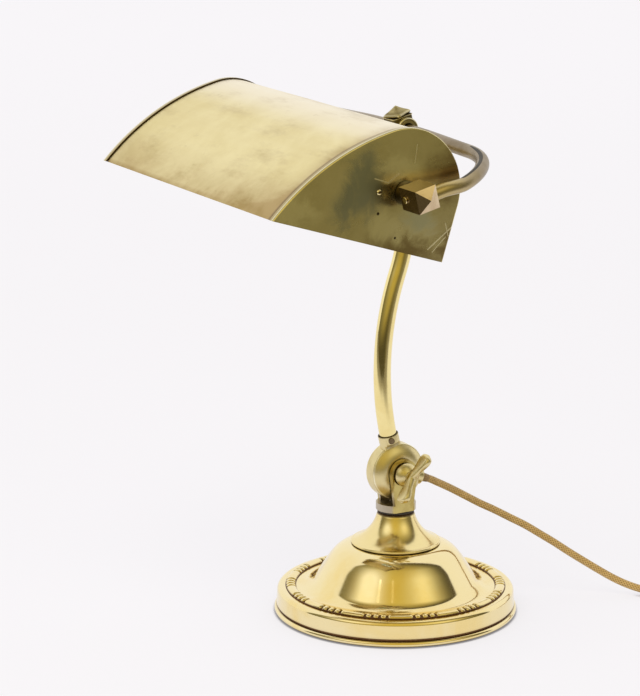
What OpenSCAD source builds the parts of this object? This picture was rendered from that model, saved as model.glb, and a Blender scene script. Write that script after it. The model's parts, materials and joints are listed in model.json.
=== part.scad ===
// Desk lamp: half-round shade in a yoke, curved arm on a clamped knuckle, round weighted base.
// Millimetres, +Z up, origin at the centre of the underside. +X runs along the shade, -Y is the front.

/* [Base] */
// Outer diameter of the foot's lip
base_d = 178; // [174:1:186]
// Height of the rolled lip
lip_h = 4.2; // [3.8:0.1:5]
// Height of the flat ledge that carries the border
ledge_z = 18.8; // [18:0.1:21]
// Radius at which the dome's cove meets the ledge
ledge_r = 69.5; // [68.5:0.5:71]
// Height of the dome's flat top
dome_top = 51.5; // [50:0.5:54]
// Radius of the dome's flat top
dome_flat_r = 29.5; // [28.5:0.5:31]
// Wall of the spun brass shell
shell_t = 1.4; // [1:0.1:2]
// Radius of the cast iron ballast
weight_r = 60; // [50:1:64]
// Height of the ballast's disc
weight_h = 14; // [11:0.5:14.5]
// Thickness of the felt pad
felt_t = 2; // [1.5:0.1:2.5]
// Groups of bars round the border
border_groups = 14; // [10:1:16]
// Rise of the border's rounded bars above their strip
bar_h = 1.9; // [1.5:0.1:2.2]
// Diameter of the rod that draws the foot together
tie_d = 10; // [8:0.5:11]

/* [Trumpet cap and fork] */
// Radius of the cap's flange
cap_r = 32.8; // [31:0.2:34]
// Radius of the cap's neck
neck_r = 13.4; // [12:0.1:14.4]
// Height of the cap above the dome
cap_h = 23.8; // [23:0.2:28]
// Wall of the cap
cap_wall = 1.6; // [1.2:0.1:2]
// Thickness of the washer under the fork
neck_washer_t = 1.9; // [1:0.1:3]
// Radius of the fork's round foot
fork_r = 14.6; // [14.4:0.1:15.5]
// Half width of the fork across its flats
fork_half_w = 12.6; // [12.2:0.1:13.2]
// Height of the fork's solid foot
fork_foot_h = 5.3; // [4.5:0.1:6]
// Height of the hinge above the fork's underside
hinge_h = 28.6; // [28.2:0.1:32]
// Radius of the rounded cheek tops
cheek_r = 10.8; // [10:0.1:11.5]

/* [Knuckle] */
// Radius of the knuckle's rim
knuckle_r = 21; // [20.4:0.1:21.4]
// Half width of the knuckle across its flat bosses
knuckle_half_w = 7.9; // [7.7:0.1:8.3]
// Wall of the hollow knuckle
knuckle_wall = 2.4; // [2:0.1:2.8]
// Thickness of each friction washer
friction_t = 0.7; // [0.5:0.1:1]
// Diameter of the hinge bolt
bolt_d = 8; // [7:0.5:9]
// Outer diameter of the collar that holds the arm
collar_d = 15; // [14.8:0.2:16]
// Top of the collar, from the hinge
collar_top = 29.5; // [28:0.5:31]
// Angle of the cord's boss below the horizontal
boss_drop = 20; // [16:1:26]
// Reach of the wing nut's wings from its axis
wing_reach = 20; // [18:0.5:22]
// Angle of the wings from the horizontal
wing_turn = 55; // [0:1:90]

/* [Arm] */
// Diameter of the arm tube
arm_d = 12.7; // [12:0.1:13.2]
// Wall of the arm tube
arm_wall = 1.6; // [1.2:0.1:2]
// Lean of the arm towards the front at the knuckle
arm_lean = 14; // [12:0.2:16]
// Radius of the arm's lower bend
arm_low_r = 218; // [205:1:235]
// Turn of the arm's lower bend, towards the rear
arm_low_turn = 33.2; // [31:0.1:35]
// Radius of the arm's upper bend
arm_up_r = 165; // [150:1:180]

/* [Yoke] */
// Tilt of the yoke, rear end up
yoke_tilt = 14; // [12:0.5:17]
// Distance from the yoke's back run to the shade's pivot
yoke_depth = 74.5; // [72:0.5:78]
// Diameter of the yoke tube
yoke_d = 9.5; // [8.5:0.1:10.5]
// Bore of the yoke tube
yoke_bore = 6.5; // [5:0.1:7]
// Radius of the yoke's corner bends, to the tube's centre
yoke_bend_r = 60; // [54:1:63]
// Length of the centre block, along the yoke
block_l = 23; // [20:0.5:25]
// Depth of the centre block
block_w = 15.5; // [14.5:0.5:17]
// Height of the centre block
block_h = 18; // [16.5:0.5:20]
// Side of the square end blocks
end_block_w = 16; // [15:0.5:18]
// Length of the end blocks
end_block_l = 21; // [20:0.5:23]
// Height of the pyramid points
pyramid_h = 4.6; // [3:0.1:6]
// Length of the round boss between block and shade
boss_l = 7; // [6:0.5:9]

/* [Shade] */
// Length of the shade over its end caps
shade_l = 254; // [236:1:270]
// Radius of the shade's rear roll about the pivot
rear_r = 42.3; // [41:0.1:44]
// Radius of the shade's flatter front
front_r = 177; // [165:1:190]
// Angle round the roll at which the front begins
front_start = 120; // [114:1:126]
// Depth of the open rim below the pivot
rim_drop = 39.2; // [36:0.2:41]
// Drop of the open rim towards the rear
shade_pitch = 17.6; // [10:0.2:24]
// Thickness of the shade's sheet
sheet_t = 0.9; // [0.7:0.1:1.2]
// Thickness of the end caps
end_cap_t = 1; // [0.8:0.1:1.4]
// Width of the end caps' flange over the sheet
end_cap_flange = 4.5; // [3:0.5:6]

/* [Lampholder and bulb] */
// Diameter of the hollow pivot nipples
nipple_d = 10; // [9:0.5:10.5]
// Diameter of the lampholder's barrel
holder_d = 29; // [28:0.5:31]
// Length of the lampholder's barrel
holder_l = 30; // [28:0.5:34]
// Diameter of the bulb
bulb_d = 30; // [27:1:36]
// Length of the bulb's glass
bulb_l = 92; // [80:1:100]
// Travel of the switch bar
switch_travel = 6; // [4:0.5:7]

/* [Cord and plug] */
// Diameter of the cord
cord_d = 5.5; // [5:0.1:5.8]
// Turns in each layer of the coil
coil_turns = 3.4; // [3:0.1:3.8]
// Radius of the coil's innermost turn, to the cord's centre
coil_in_r = 22.5; // [22:0.5:24]
// Gap between neighbouring turns
coil_gap = 0.6; // [0.5:0.1:0.8]
// Width of the plug
plug_w = 46; // [42:1:48]
// Length of the plug
plug_l = 48; // [44:1:52]

/* [Hidden] */
$fn = 64;

brass = "#c2a24a";
old_brass = "#8c7a3c";
bronze = "#7d5a38";
steel = "#6f6f6c";
fibre = "#2e2620";
cord_brown = "#9c7440";

// Clearances: a turning fit, a fixed fit, a face that slides past another, and room round hidden parts
run_gap = 0.05;
fit_gap = 0.05;
slide_gap = 0.1;
room = 0.5;

function arc(c, r, a0, a1, n) = [for (i = [0:n]) let (a = a0 + (a1 - a0) * i / n) c + r * [cos(a), sin(a)]];
function reversed(v) = [for (i = [len(v) - 1:-1:0]) v[i]];
function turned(p, a) = [p.x * cos(a) - p.y * sin(a), p.x * sin(a) + p.y * cos(a)];
function unit(v) = v / norm(v);

// Base: radii and heights
base_r = base_d / 2;
lip_clear = 0.4;
lip_c = [base_r - lip_h / 2, lip_clear + lip_h / 2];
groove_h = 2.4;
groove_d = 1.2;
groove_ease = 0.3;
band_foot = [base_r - 1.7, lip_clear + lip_h + groove_h];
groove_in = band_foot.x - groove_d;
brow_r = 3.4;
brow_c = [base_r - 6.6, ledge_z - brow_r];
skirt_r = base_r - lip_h - 0.6;
border_in = ledge_r + 3.7;
border_out = border_in + 7.4;
border_t = 0.8;
border_r = (border_in + border_out) / 2;
border_spin = 10.4;
bar_w = 6.2;
bar_r = (bar_w * bar_w / 4 + bar_h * bar_h) / (2 * bar_h);
short_bar_l = 3.6;
short_bar_pitch = 5.2;
short_bars_share = 3.3;
tie_r = tie_d / 2;
tie_bore = tie_r + slide_gap;
nut_h = 6;
nut_r = tie_r + 5;
tie_washer_t = 1.6;
tie_washer_r = nut_r + 2.5;
nut_z = felt_t + 0.8;
weight_boss_r = 16;
weight_slope = 12;
rod_z = felt_t + 0.3;

// Dome: shoulder, flank and cove arcs, joined by the straight line that touches flank and cove
shoulder_r = 22;
shoulder_turn = 50;
flank_r = 60;
cove_r = 12;
function slope(a) = [sin(a), cos(a)];
shoulder_c = [dome_flat_r, dome_top - shoulder_r];
flank_c = shoulder_c + (shoulder_r - flank_r) * slope(shoulder_turn);
cove_c = [ledge_r, ledge_z + cove_r];
cove_way = cove_c - flank_c;
flank_turn = atan2(cove_way.x, cove_way.y) - acos((flank_r + cove_r) / norm(cove_way));
function dome_path(o) = concat(
  arc(shoulder_c, shoulder_r - o, 90, 90 - shoulder_turn, 8),
  arc(flank_c, flank_r - o, 90 - shoulder_turn, 90 - flank_turn, 3),
  arc(cove_c, cove_r + o, 270 - flank_turn, 270, 8)
);

// Trumpet cap: a flare from the neck to the beaded flange
cap_top = dome_top + cap_h;
bead_edge = 1.1;
flare_steep = 82;
flare_flat = 20;
flare_r = (cap_r - bead_edge - neck_r) / (sin(flare_steep) - sin(flare_flat));
flare_c = [cap_r - bead_edge, dome_top + 2 * bead_edge] + flare_r * slope(flare_flat);
cap_top_t = 3;
cap_foot = cap_r - bead_edge - 1.6 * cap_wall;
function flare_path(o) = arc(flare_c, flare_r + o, 270 - flare_steep, 270 - flare_flat, 12);

// Fork and hinge
neck_washer_r = neck_r - 0.5;
fork_z = cap_top + neck_washer_t;
hinge_z = fork_z + hinge_h;
slot_half = knuckle_half_w + friction_t + slide_gap;
cheek_inset = 0.4;
cheek_foot = sqrt(fork_r * fork_r - fork_half_w * fork_half_w) - cheek_inset;
bolt_r = bolt_d / 2;
bolt_head_r = bolt_r + 3.5;
bolt_head_h = 3.2;
bolt_head_taper = 2;
bolt_slot = [1.4, 1];
wing_washer_t = 1.4;
wing_washer_r = bolt_r + 4.2;
wing_x = fork_half_w + wing_washer_t + slide_gap;
wing_hub_r = bolt_r + 3;
wing_hub_h = 9.5;
wing_hub_taper = 1.5;
wing_cap_t = 2;
wing_t = 3.2;
wing_rise = 12;
lobe_r = 4.8;
wing_foot = [bolt_r + 1, 1.5];
wing_flare = 2;

// Knuckle
rim_near = 3.8;
rim_far = 7.6;
rim_soft = 0.6;
dome_steps = 6;
seam_x = 2.6;
boss_flat_r = cheek_r + 0.3;
friction_r = cheek_r - 0.7;
collar_foot = knuckle_r - knuckle_wall - 2.6;
collar_screw_turn = -16;
collar_screw_drop = 3.2;
hub_r = bolt_r + 3;
cord_boss_d = 12;
cord_boss_end = knuckle_r + 0.6;
bush_seat_d = 8.6;
bush_nose_d = 7.6;
bush_tail_d = 2 * (seam_x - slide_gap);
bush_tip_d = cord_d + 0.7;
bush_nose = 6.9;
bush_l = 21;
bush_end = cord_boss_end + bush_nose;

// Arm: the lower bend runs back, the upper bend brings the top over the yoke
arm_bore = arm_d - 2 * arm_wall;
arm_up_turn = yoke_tilt - arm_lean + arm_low_turn;
arm_foot = knuckle_r - knuckle_wall - 1.5;
arm_start = (arm_foot + collar_top) / 2;
arm_foot_turn = asin((arm_start - arm_foot) / arm_low_r);
spigot_l = 8;
spigot_flange_r = arm_d / 2 + 1;
swivel_washer_r = arm_d / 2 + 0.8;
spigot_r = arm_bore / 2 - spigot_l * spigot_l / (2 * arm_up_r) - fit_gap;
flex_short = asin((spigot_l + 2) / arm_up_r);
flex_foot_turn = asin((arm_start - hub_r - fit_gap) / arm_low_r);
flex_d = 4.4;
function bend_end(r, a) = [r * (1 - cos(a)), r * sin(a)];
arm_low_end = [0, arm_start] + bend_end(arm_low_r, arm_low_turn);
arm_up_way = bend_end(arm_up_r, arm_up_turn);
arm_reach = arm_low_end + turned([-arm_up_way.x, arm_up_way.y], -arm_low_turn);
arm_top = [0, hinge_z] + turned(arm_reach, arm_lean);

// Yoke, measured from the middle of its centre block
spigot_flange_t = 2;
swivel_washer_t = 1;
pin_r = 3.5;
pin_bore_r = 1.9;
pin_short = 0.4;
block_lift = spigot_flange_t + swivel_washer_t + slide_gap + block_w / 2;
block_up = block_h - block_w / 2;
nut_w = block_w + 1.5;
nut_prism_h = 2.8;
nut_spin = 23;
socket_l = 3;
yoke_start = block_l / 2 - socket_l;
yoke_mid = arm_top + turned([0, block_lift], yoke_tilt);
pivot = yoke_mid + turned([-yoke_depth, 0], yoke_tilt);
block_in = shade_l / 2 + boss_l;
block_out = block_in + end_block_l;
leg_x = block_out - 6;
nipple_r = nipple_d / 2;
nipple_bore_r = nipple_r - 2;
leg_seat = end_block_w / 2 - nipple_r - 0.4;
nipple_seat = 14.5;
pivot_boss_r = end_block_w / 2 + 0.3;
screw_r = 1.6;
screw_head_r = 2.3;
screw_head_h = 1.1;
screw_x = block_in + 6.5;
nipple_in = shade_l / 2 - end_cap_t - 7;
locknut_r = nipple_r + 3.6;

// Shade
front_c = (rear_r - front_r) * [cos(front_start), sin(front_start)];
function front_end(o) = 180 - asin((-rim_drop - front_c.y) / (front_r + o));
function shade_path(o) = concat(
  [[rear_r + o, -rim_drop]],
  arc([0, 0], rear_r + o, 0, front_start, 24),
  arc(front_c, front_r + o, front_start, front_end(o), 10)
);
plate_in = shade_l / 2 - end_cap_t;
flange_in = fit_gap;
flange_out = flange_in + end_cap_t;
sheet_l = shade_l - 2 * end_cap_t - 2 * fit_gap;
rivet_at = [-20, -4];
rivet_r = 2;
rivet_h = 0.9;
rivet_top_r = rivet_r - 0.7;
rivet_shank_r = 1;

// Lampholder, on the near nipple
holder_x = shade_l / 2 - end_cap_t - 2 * slide_gap;
holder_cap_l = 17;
holder_cap_wall = 1.4;
holder_roof_t = 8.5;
holder_neck = [nipple_r + 4, 2];
holder_shoulder = [nipple_r + 7, 7];
holder_ring_at = 9;
holder_ring_l = 6;
holder_ring_w = 3;
holder_wall = 1.2;
holder_cap_r = holder_d / 2 + 1;
holder_mouth = holder_x - holder_cap_l - holder_l;
switch_x = holder_x - 12;
switch_r = 2.4;
knob_r = 3.4;
knob_l = 4.5;
knob_at = holder_d / 2 + 1 + switch_travel / 2 + room;
insulator_l = 13;
insulator_x = holder_x - holder_cap_l - insulator_l + 2;
insulator_r = holder_d / 2 - holder_wall - fit_gap;
plunger_r = 1.8;
plunger_l = 4;
plunger_at = 4.6;
bulb_cap_d = 22;
bulb_cap_x = insulator_x - plunger_l;
bulb_cap_l = 25;
bulb_cap_wall = 2;
bulb_cap_roof = 4;
bulb_lug_r = 1;
bulb_lug_l = 2.4;
bulb_lug_at = 7;
bulb_neck_l = 8;
bulb_wall = 0.8;
bulb_x = bulb_cap_x - bulb_cap_l;
locknut_h = 4;

// Cord: the free stretch's route from the knuckle to the coil, chosen by hand
route = [
  [0, 36, 91.4], [0, 48, 84.8], [1.5, 60, 77.6], [3, 71, 71], [6, 82, 65], [10, 93, 58.5], [15, 104, 52],
  [20, 114, 45], [26, 123, 38.5], [32, 132, 31.5], [39, 141, 24.8], [46, 151, 17.6], [53, 159, 12.2],
  [60, 167, 8], [67, 175, 5.2], [75, 184, 4.1], [83, 193, 3.8], [91, 202, 3.75]
];
cord_exit = [0, bush_end * cos(boss_drop), hinge_z - bush_end * sin(boss_drop)];
cord_out = [0, cos(boss_drop), -sin(boss_drop)];
tie_t = 0.8;
coil_z = tie_t + 0.2 + cord_d / 2;
coil_start = [98, 210, coil_z];
coil_heading = 48.8;
cord_sides = 10;

// Coil: two layers, in on the lower and out on the upper, climbing in the half turn between
turn_pitch = cord_d + coil_gap;
coil_out_r = coil_in_r + coil_turns * turn_pitch;
coil_total = 2 * coil_turns + 0.5;
rings_per_turn = 24;
coil_rings = round(coil_total * rings_per_turn);
coil_sides = 6;
heading_way = [cos(coil_heading), sin(coil_heading)];
spiral_start = [coil_start.x, coil_start.y] + cord_d * heading_way;
coil_mid = spiral_start + coil_out_r * [-heading_way.y, heading_way.x];
function climb(u) = u * u * (3 - 2 * u);
function coil_r(n) =
  n < coil_turns ? coil_out_r - n * turn_pitch
  : n < coil_turns + 0.5 ? let (u = n - coil_turns) coil_in_r - turn_pitch * (u - 2 * u * u)
  : coil_in_r + (n - coil_turns - 0.5) * turn_pitch;
function coil_lift(n) = turn_pitch * climb(max(0, min(1, (n - coil_turns) / 0.5)));
function coil_point(n) = let (a = coil_heading - 90 + 360 * n, r = coil_r(n))
  [coil_mid.x + r * cos(a), coil_mid.y + r * sin(a), coil_z + coil_lift(n)];
coil_turn_points = [for (i = [0:coil_rings]) coil_point(coil_total * i / coil_rings)];
coil_end_heading = coil_heading + 360 * coil_total;
end_way = [cos(coil_end_heading), sin(coil_end_heading), 0];
coil_end = coil_turn_points[coil_rings] + cord_d * end_way;
coil_points = concat([coil_start], coil_turn_points, [coil_end]);
coil_distances = [for (i = [0:coil_rings], j = [i + rings_per_turn / 2:1:coil_rings])
  norm(coil_turn_points[i] - coil_turn_points[j])];
echo(least_gap_of_coil_mm = min(coil_distances) - cord_d);

// Tie: a band round both layers
tie_w = 8;
tie_turn = 190;
tie_ease = 0.6;
tie_in = coil_in_r - turn_pitch / 8 - cord_d / 2 - tie_t - tie_ease;
tie_out = coil_out_r + cord_d / 2 + tie_t + tie_ease;
tie_h = coil_z + turn_pitch + cord_d / 2 + tie_t + slide_gap;

// Tail: straight from the coil to the plug, at the height of the upper layer
tail_l = 80;
tail_end = coil_end + tail_l * end_way;

// Plug, lying on its back with its pins up
plug_entry_z = coil_end.z;
plug_cover_h = 11;
plug_base_h = 8;
plug_corner = 7;
grip_w = 14;
grip_l = 9;
earth_at = plug_l - 9.5;
pin_l = 25;
earth_pin = [8, 4];
line_pin = [4, 6.4];
line_from_earth = [22.2, 11.1];
line_short = 5;
plug_pin_z = plug_cover_h + plug_base_h - plug_entry_z - 3;

function total(v, i = 0) = i < len(v) ? v[i] + total(v, i + 1) : 0;
function path_length(p) = total([for (i = [1:len(p) - 1]) norm(p[i] - p[i - 1])]);
cord_points = concat([cord_exit], route, [coil_start]);
echo(cord_length_mm = path_length(cord_points) + path_length(coil_points) + tail_l);
echo(hinge = [0, 0, hinge_z], arm_top = arm_top, yoke_mid = yoke_mid, pivot = pivot);
echo(cord_exit = cord_exit, coil_mid = coil_mid, coil_end = coil_end, tail_end = tail_end);

// Tube of round section swept along points, its end faces square to the two given directions
function way_at(p, i, d0, d1) = i == 0 ? d0 : i == len(p) - 1 ? d1 : unit(p[i + 1] - p[i - 1]);
function ring(c, t, r, n) = let (s = unit(cross(t, [0, 0, 1])), u = cross(s, t))
  [for (k = [0:n - 1]) c + r * (cos(360 * k / n) * s + sin(360 * k / n) * u)];
module swept_tube(p, d0, d1, r, n) {
  last = len(p) - 1;
  points = [for (i = [0:last]) each ring(p[i], way_at(p, i, d0, d1), r, n)];
  sides = [for (i = [0:last - 1], k = [0:n - 1]) let (a = i * n + k, b = i * n + (k + 1) % n)
    each [[a, b, b + n], [a, b + n, a + n]]];
  foot = [for (k = [1:n - 2]) [0, k + 1, k]];
  head = [for (k = [1:n - 2]) [last * n, last * n + k, last * n + k + 1]];
  polyhedron(points = points, faces = concat(sides, foot, head));
}

// Frames that the pieces are drawn in
module along_x() rotate([0, 90, 0]) children();
module at_hinge() translate([0, 0, hinge_z]) children();
module at_arm() at_hinge() rotate([arm_lean, 0, 0]) children();
module at_cord_boss() at_hinge() rotate([-90 - boss_drop, 0, 0]) children();
module at_arm_top() translate([0, arm_top.x, arm_top.y]) rotate([yoke_tilt, 0, 0]) children();
module at_yoke() translate([0, yoke_mid.x, yoke_mid.y]) rotate([yoke_tilt, 0, 0]) children();
module at_pivot() translate([0, pivot.x, pivot.y]) rotate([yoke_tilt, 0, 0]) children();
module at_shade() translate([0, pivot.x, pivot.y]) rotate([-shade_pitch, 0, 0]) children();
module across_x() rotate([90, 0, 90]) children();
module at_plug() translate(tail_end) rotate([0, 0, coil_end_heading]) children();
module far_side() mirror([1, 0, 0]) children();

// Simple shapes
module ring_disc(r_out, r_in, h) difference() {
  cylinder(r = r_out, h = h);
  translate([0, 0, -1]) cylinder(r = r_in, h = h + 2);
}
module wedge(w, h) rotate([90, 0, 0]) linear_extrude(w, center = true)
  polygon([[-w / 2, 0], [w / 2, 0], [0, h]]);
module pyramid(w, h) intersection() {
  wedge(w, h);
  rotate(90) wedge(w, h);
}
module bend_back(r, a) translate([0, r, 0]) rotate([90, 0, -90]) rotate_extrude(angle = a)
  translate([r, 0]) children();
module tube_section(d_out, d_in) difference() {
  circle(d = d_out);
  circle(d = d_in);
}

// Base
module base_shell() color(brass) rotate_extrude() polygon(concat(
  [[tie_bore, dome_top]],
  dome_path(0),
  arc(brow_c, brow_r, 90, 10, 5),
  [band_foot, [groove_in, band_foot.y - groove_ease], [groove_in, lip_clear + lip_h + groove_ease]],
  arc(lip_c, lip_h / 2, 75, -90, 10),
  [[skirt_r, lip_clear], [brow_c.x, ledge_z - shell_t]],
  reversed(dome_path(shell_t)),
  [[tie_bore, dome_top - shell_t]]
));

module border_bar(angle) rotate(-angle / 2) rotate_extrude(angle = angle)
  translate([border_r, ledge_z + border_t]) intersection() {
    translate([0, bar_h - bar_r]) circle(r = bar_r);
    translate([-bar_w / 2, -border_t / 2]) square([bar_w, border_t + bar_h]);
  }

module base_border() color(brass) {
  group_turn = 360 / border_groups;
  short_turn = asin(short_bar_l / border_r);
  pitch_turn = asin(short_bar_pitch / border_r);
  translate([0, 0, ledge_z]) ring_disc(border_out, border_in, border_t);
  for (g = [0:border_groups - 1]) rotate(border_spin + g * group_turn) {
    for (b = [-1:1]) rotate(b * pitch_turn) border_bar(short_turn);
    rotate(group_turn / 2) border_bar(group_turn - short_bars_share * pitch_turn);
  }
}

module base_weight() color(steel) rotate_extrude() polygon([
  [tie_washer_r + room, felt_t], [weight_r, felt_t], [weight_r, felt_t + weight_h],
  [weight_boss_r + weight_slope, felt_t + weight_h],
  [weight_boss_r, dome_top - shell_t - weight_slope],
  [weight_boss_r, dome_top - shell_t], [tie_bore, dome_top - shell_t],
  [tie_bore, nut_z + nut_h + tie_washer_t], [tie_washer_r + room, nut_z + nut_h + tie_washer_t]
]);

module base_felt() color("#2f4a34") cylinder(r = skirt_r - room, h = felt_t);

module trumpet_cap() color(brass) rotate_extrude() polygon(concat(
  [[tie_bore, cap_top], [neck_r, cap_top]],
  flare_path(0),
  arc([cap_r - bead_edge, dome_top + bead_edge], bead_edge, 90, -90, 8),
  [[cap_foot, dome_top]],
  [for (p = reversed(flare_path(cap_wall))) if (p.y > dome_top + cap_wall && p.y < cap_top - cap_top_t) p],
  [[neck_r - cap_wall, cap_top - cap_top_t], [tie_bore, cap_top - cap_top_t]]
));

module neck_washer() color(fibre) translate([0, 0, cap_top])
  ring_disc(neck_washer_r, tie_bore, neck_washer_t);

module tie_rod() color(steel) translate([0, 0, rod_z])
  cylinder(r = tie_r, h = fork_z + fork_foot_h - room - rod_z);

module tie_washer() color(steel) translate([0, 0, nut_z + nut_h])
  ring_disc(tie_washer_r, tie_r + fit_gap, tie_washer_t);

module tie_nut() color(steel) translate([0, 0, nut_z]) difference() {
  cylinder(r = nut_r, h = nut_h, $fn = 6);
  translate([0, 0, -1]) cylinder(r = tie_r + fit_gap, h = nut_h + 2);
}

// Fork and its clamp
module cheek_outline() {
  polygon([[-cheek_foot, 0], [cheek_foot, 0], [cheek_r, hinge_h], [-cheek_r, hinge_h]]);
  translate([0, hinge_h]) circle(r = cheek_r);
}

module fork() color(brass) difference() {
  translate([0, 0, fork_z]) union() {
    intersection() {
      cylinder(r = fork_r, h = fork_foot_h);
      translate([-fork_half_w, -fork_r, 0]) cube([2 * fork_half_w, 2 * fork_r, fork_foot_h]);
    }
    translate([-fork_half_w, 0, 0]) across_x() linear_extrude(2 * fork_half_w) cheek_outline();
  }
  translate([-slot_half, -fork_r - 1, fork_z + fork_foot_h])
    cube([2 * slot_half, 2 * fork_r + 2, hinge_h + cheek_r]);
  translate([0, 0, fork_z - 1]) cylinder(r = tie_r + fit_gap, h = fork_foot_h + 2);
  at_hinge() translate([-fork_half_w - 1, 0, 0]) along_x()
    cylinder(r = bolt_r + run_gap, h = 2 * fork_half_w + 2);
}

module hinge_bolt() color(brass) at_hinge() along_x() {
  translate([0, 0, -fork_half_w])
    cylinder(r = bolt_r, h = fork_half_w + wing_x + wing_hub_h - wing_cap_t - room);
  translate([0, 0, -fork_half_w - bolt_head_h]) difference() {
    cylinder(r1 = bolt_head_r - bolt_head_taper, r2 = bolt_head_r, h = bolt_head_h);
    translate([-bolt_head_r, -bolt_slot.x / 2, -1]) cube([2 * bolt_head_r, bolt_slot.x, 1 + bolt_slot.y]);
  }
}

module wing_washer() color(old_brass) at_hinge() along_x() translate([0, 0, fork_half_w])
  ring_disc(wing_washer_r, bolt_r + run_gap, wing_washer_t);

module wing() translate([0, wing_t / 2, 0]) rotate([90, 0, 0]) linear_extrude(wing_t) {
  lobe = [wing_reach - lobe_r, wing_rise];
  translate(lobe) circle(r = lobe_r);
  polygon([
    [0, wing_foot.y], wing_foot, lobe + [wing_flare, -lobe_r], lobe + [-wing_flare, lobe_r],
    [bolt_r, wing_hub_h], [0, wing_hub_h]
  ]);
}

module at_wing() at_hinge() rotate([wing_turn, 0, 0]) translate([wing_x, 0, 0]) along_x() rotate(90)
  children();

module wing_nut() color(brass) at_wing() difference() {
  union() {
    cylinder(r1 = wing_hub_r, r2 = wing_hub_r - wing_hub_taper, h = wing_hub_h);
    wing();
    mirror([1, 0, 0]) wing();
  }
  translate([0, 0, -1]) cylinder(r = bolt_r + run_gap, h = wing_hub_h - wing_cap_t + 1);
}

// Knuckle: a hollow cup with the arm's collar and the cord's boss, closed by a domed cover
function dome_point(u, rim) =
  [boss_flat_r + (knuckle_r - rim_soft - boss_flat_r) * u, knuckle_half_w - (knuckle_half_w - rim) * u * u];
function knuckle_dome(rim) = concat(
  [[knuckle_r, rim - rim_soft]],
  [for (i = [dome_steps:-1:0]) dome_point(i / dome_steps, rim)]
);

module in_arm_cord_boss() rotate([-90 - boss_drop - arm_lean, 0, 0]) children();

module at_collar_screw() rotate(collar_screw_turn) translate([0, 0, collar_top - collar_screw_drop]) along_x()
  children();

module knuckle_body() color(brass) at_arm() difference() {
  union() {
    along_x() mirror([0, 0, 1]) rotate_extrude() polygon(concat(
      [[0, -seam_x], [knuckle_r, -seam_x]], knuckle_dome(rim_far), [[0, knuckle_half_w]]
    ));
    translate([0, 0, collar_foot]) cylinder(d = collar_d, h = collar_top - collar_foot);
    in_arm_cord_boss() translate([0, 0, collar_foot])
      cylinder(d = cord_boss_d, h = cord_boss_end - collar_foot);
  }
  along_x() translate([0, 0, knuckle_wall - knuckle_half_w])
    ring_disc(knuckle_r - knuckle_wall, hub_r, 2 * knuckle_half_w);
  translate([0, 0, arm_foot]) cylinder(d = arm_d + 2 * fit_gap, h = collar_top);
  translate([0, 0, collar_foot - 1]) cylinder(d = arm_bore, h = collar_top);
  in_arm_cord_boss() translate([0, 0, collar_foot - 1])
    cylinder(d = bush_seat_d + 2 * fit_gap, h = cord_boss_end);
  translate([-knuckle_half_w - 1, 0, 0]) along_x() cylinder(r = bolt_r + run_gap, h = 2 * knuckle_half_w + 2);
  at_collar_screw() cylinder(r = screw_r + fit_gap, h = collar_d);
}

module knuckle_cover() color(brass) at_arm() difference() {
  along_x() rotate_extrude() polygon(concat(
    [[bolt_r + run_gap, knuckle_half_w]], reversed(knuckle_dome(rim_near)),
    [[knuckle_r, seam_x], [bolt_r + run_gap, seam_x]]
  ));
  translate([0, 0, collar_foot - fit_gap]) cylinder(d = collar_d + 2 * fit_gap, h = collar_top);
  in_arm_cord_boss() translate([0, 0, collar_foot - fit_gap])
    cylinder(d = cord_boss_d + 2 * fit_gap, h = cord_boss_end);
}

module friction_washers() color(fibre) at_hinge() along_x()
  for (x = [knuckle_half_w, -knuckle_half_w - friction_t])
    translate([0, 0, x]) ring_disc(friction_r, bolt_r + run_gap, friction_t);

module cord_bush() color(fibre) at_cord_boss() translate([0, 0, bush_end - bush_l]) {
  seat_l = cord_boss_end - collar_foot;
  tail = bush_l - bush_nose - seat_l;
  translate([0, 0, tail + seat_l]) cylinder(d1 = bush_nose_d, d2 = bush_tip_d, h = bush_nose);
  translate([0, 0, tail]) cylinder(d = bush_seat_d, h = seat_l);
  cylinder(d = bush_tail_d, h = tail);
}

module collar_screw() color(steel) at_arm() at_collar_screw() {
  translate([0, 0, arm_d / 2 + fit_gap]) cylinder(r = screw_r, h = collar_d / 2 - arm_d / 2);
  translate([0, 0, collar_d / 2]) cylinder(r = screw_head_r, h = screw_head_h);
}

// Arm: two bends that meet at the point where the curve turns the other way
module at_arm_turn() at_arm() translate([0, arm_low_end.x, arm_low_end.y]) rotate([-arm_low_turn, 0, 0])
  children();

module arm_path(below, short) at_arm_turn() {
  mirror([0, 0, 1]) bend_back(arm_low_r, arm_low_turn + below) children();
  mirror([0, 1, 0]) bend_back(arm_up_r, arm_up_turn - short) children();
}

module arm_tube() color(brass) arm_path(arm_foot_turn, 0) tube_section(arm_d, arm_bore);

module arm_flex() color(fibre) arm_path(flex_foot_turn, flex_short) circle(d = flex_d);

module arm_spigot() color(old_brass) at_arm_top() difference() {
  union() {
    translate([0, 0, -spigot_l]) cylinder(r = spigot_r, h = spigot_l);
    cylinder(r = spigot_flange_r, h = spigot_flange_t);
    cylinder(r = pin_r, h = block_lift + block_up + slide_gap + nut_prism_h - pin_short);
  }
  translate([0, 0, -spigot_l - 1]) cylinder(r = pin_bore_r, h = block_lift + spigot_l + 1);
}

module swivel_washer() color(fibre) at_arm_top() translate([0, 0, spigot_flange_t])
  ring_disc(swivel_washer_r, pin_r + fit_gap, swivel_washer_t);

module at_nut() at_yoke() translate([0, 0, block_up + slide_gap]) rotate(nut_spin) children();

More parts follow.
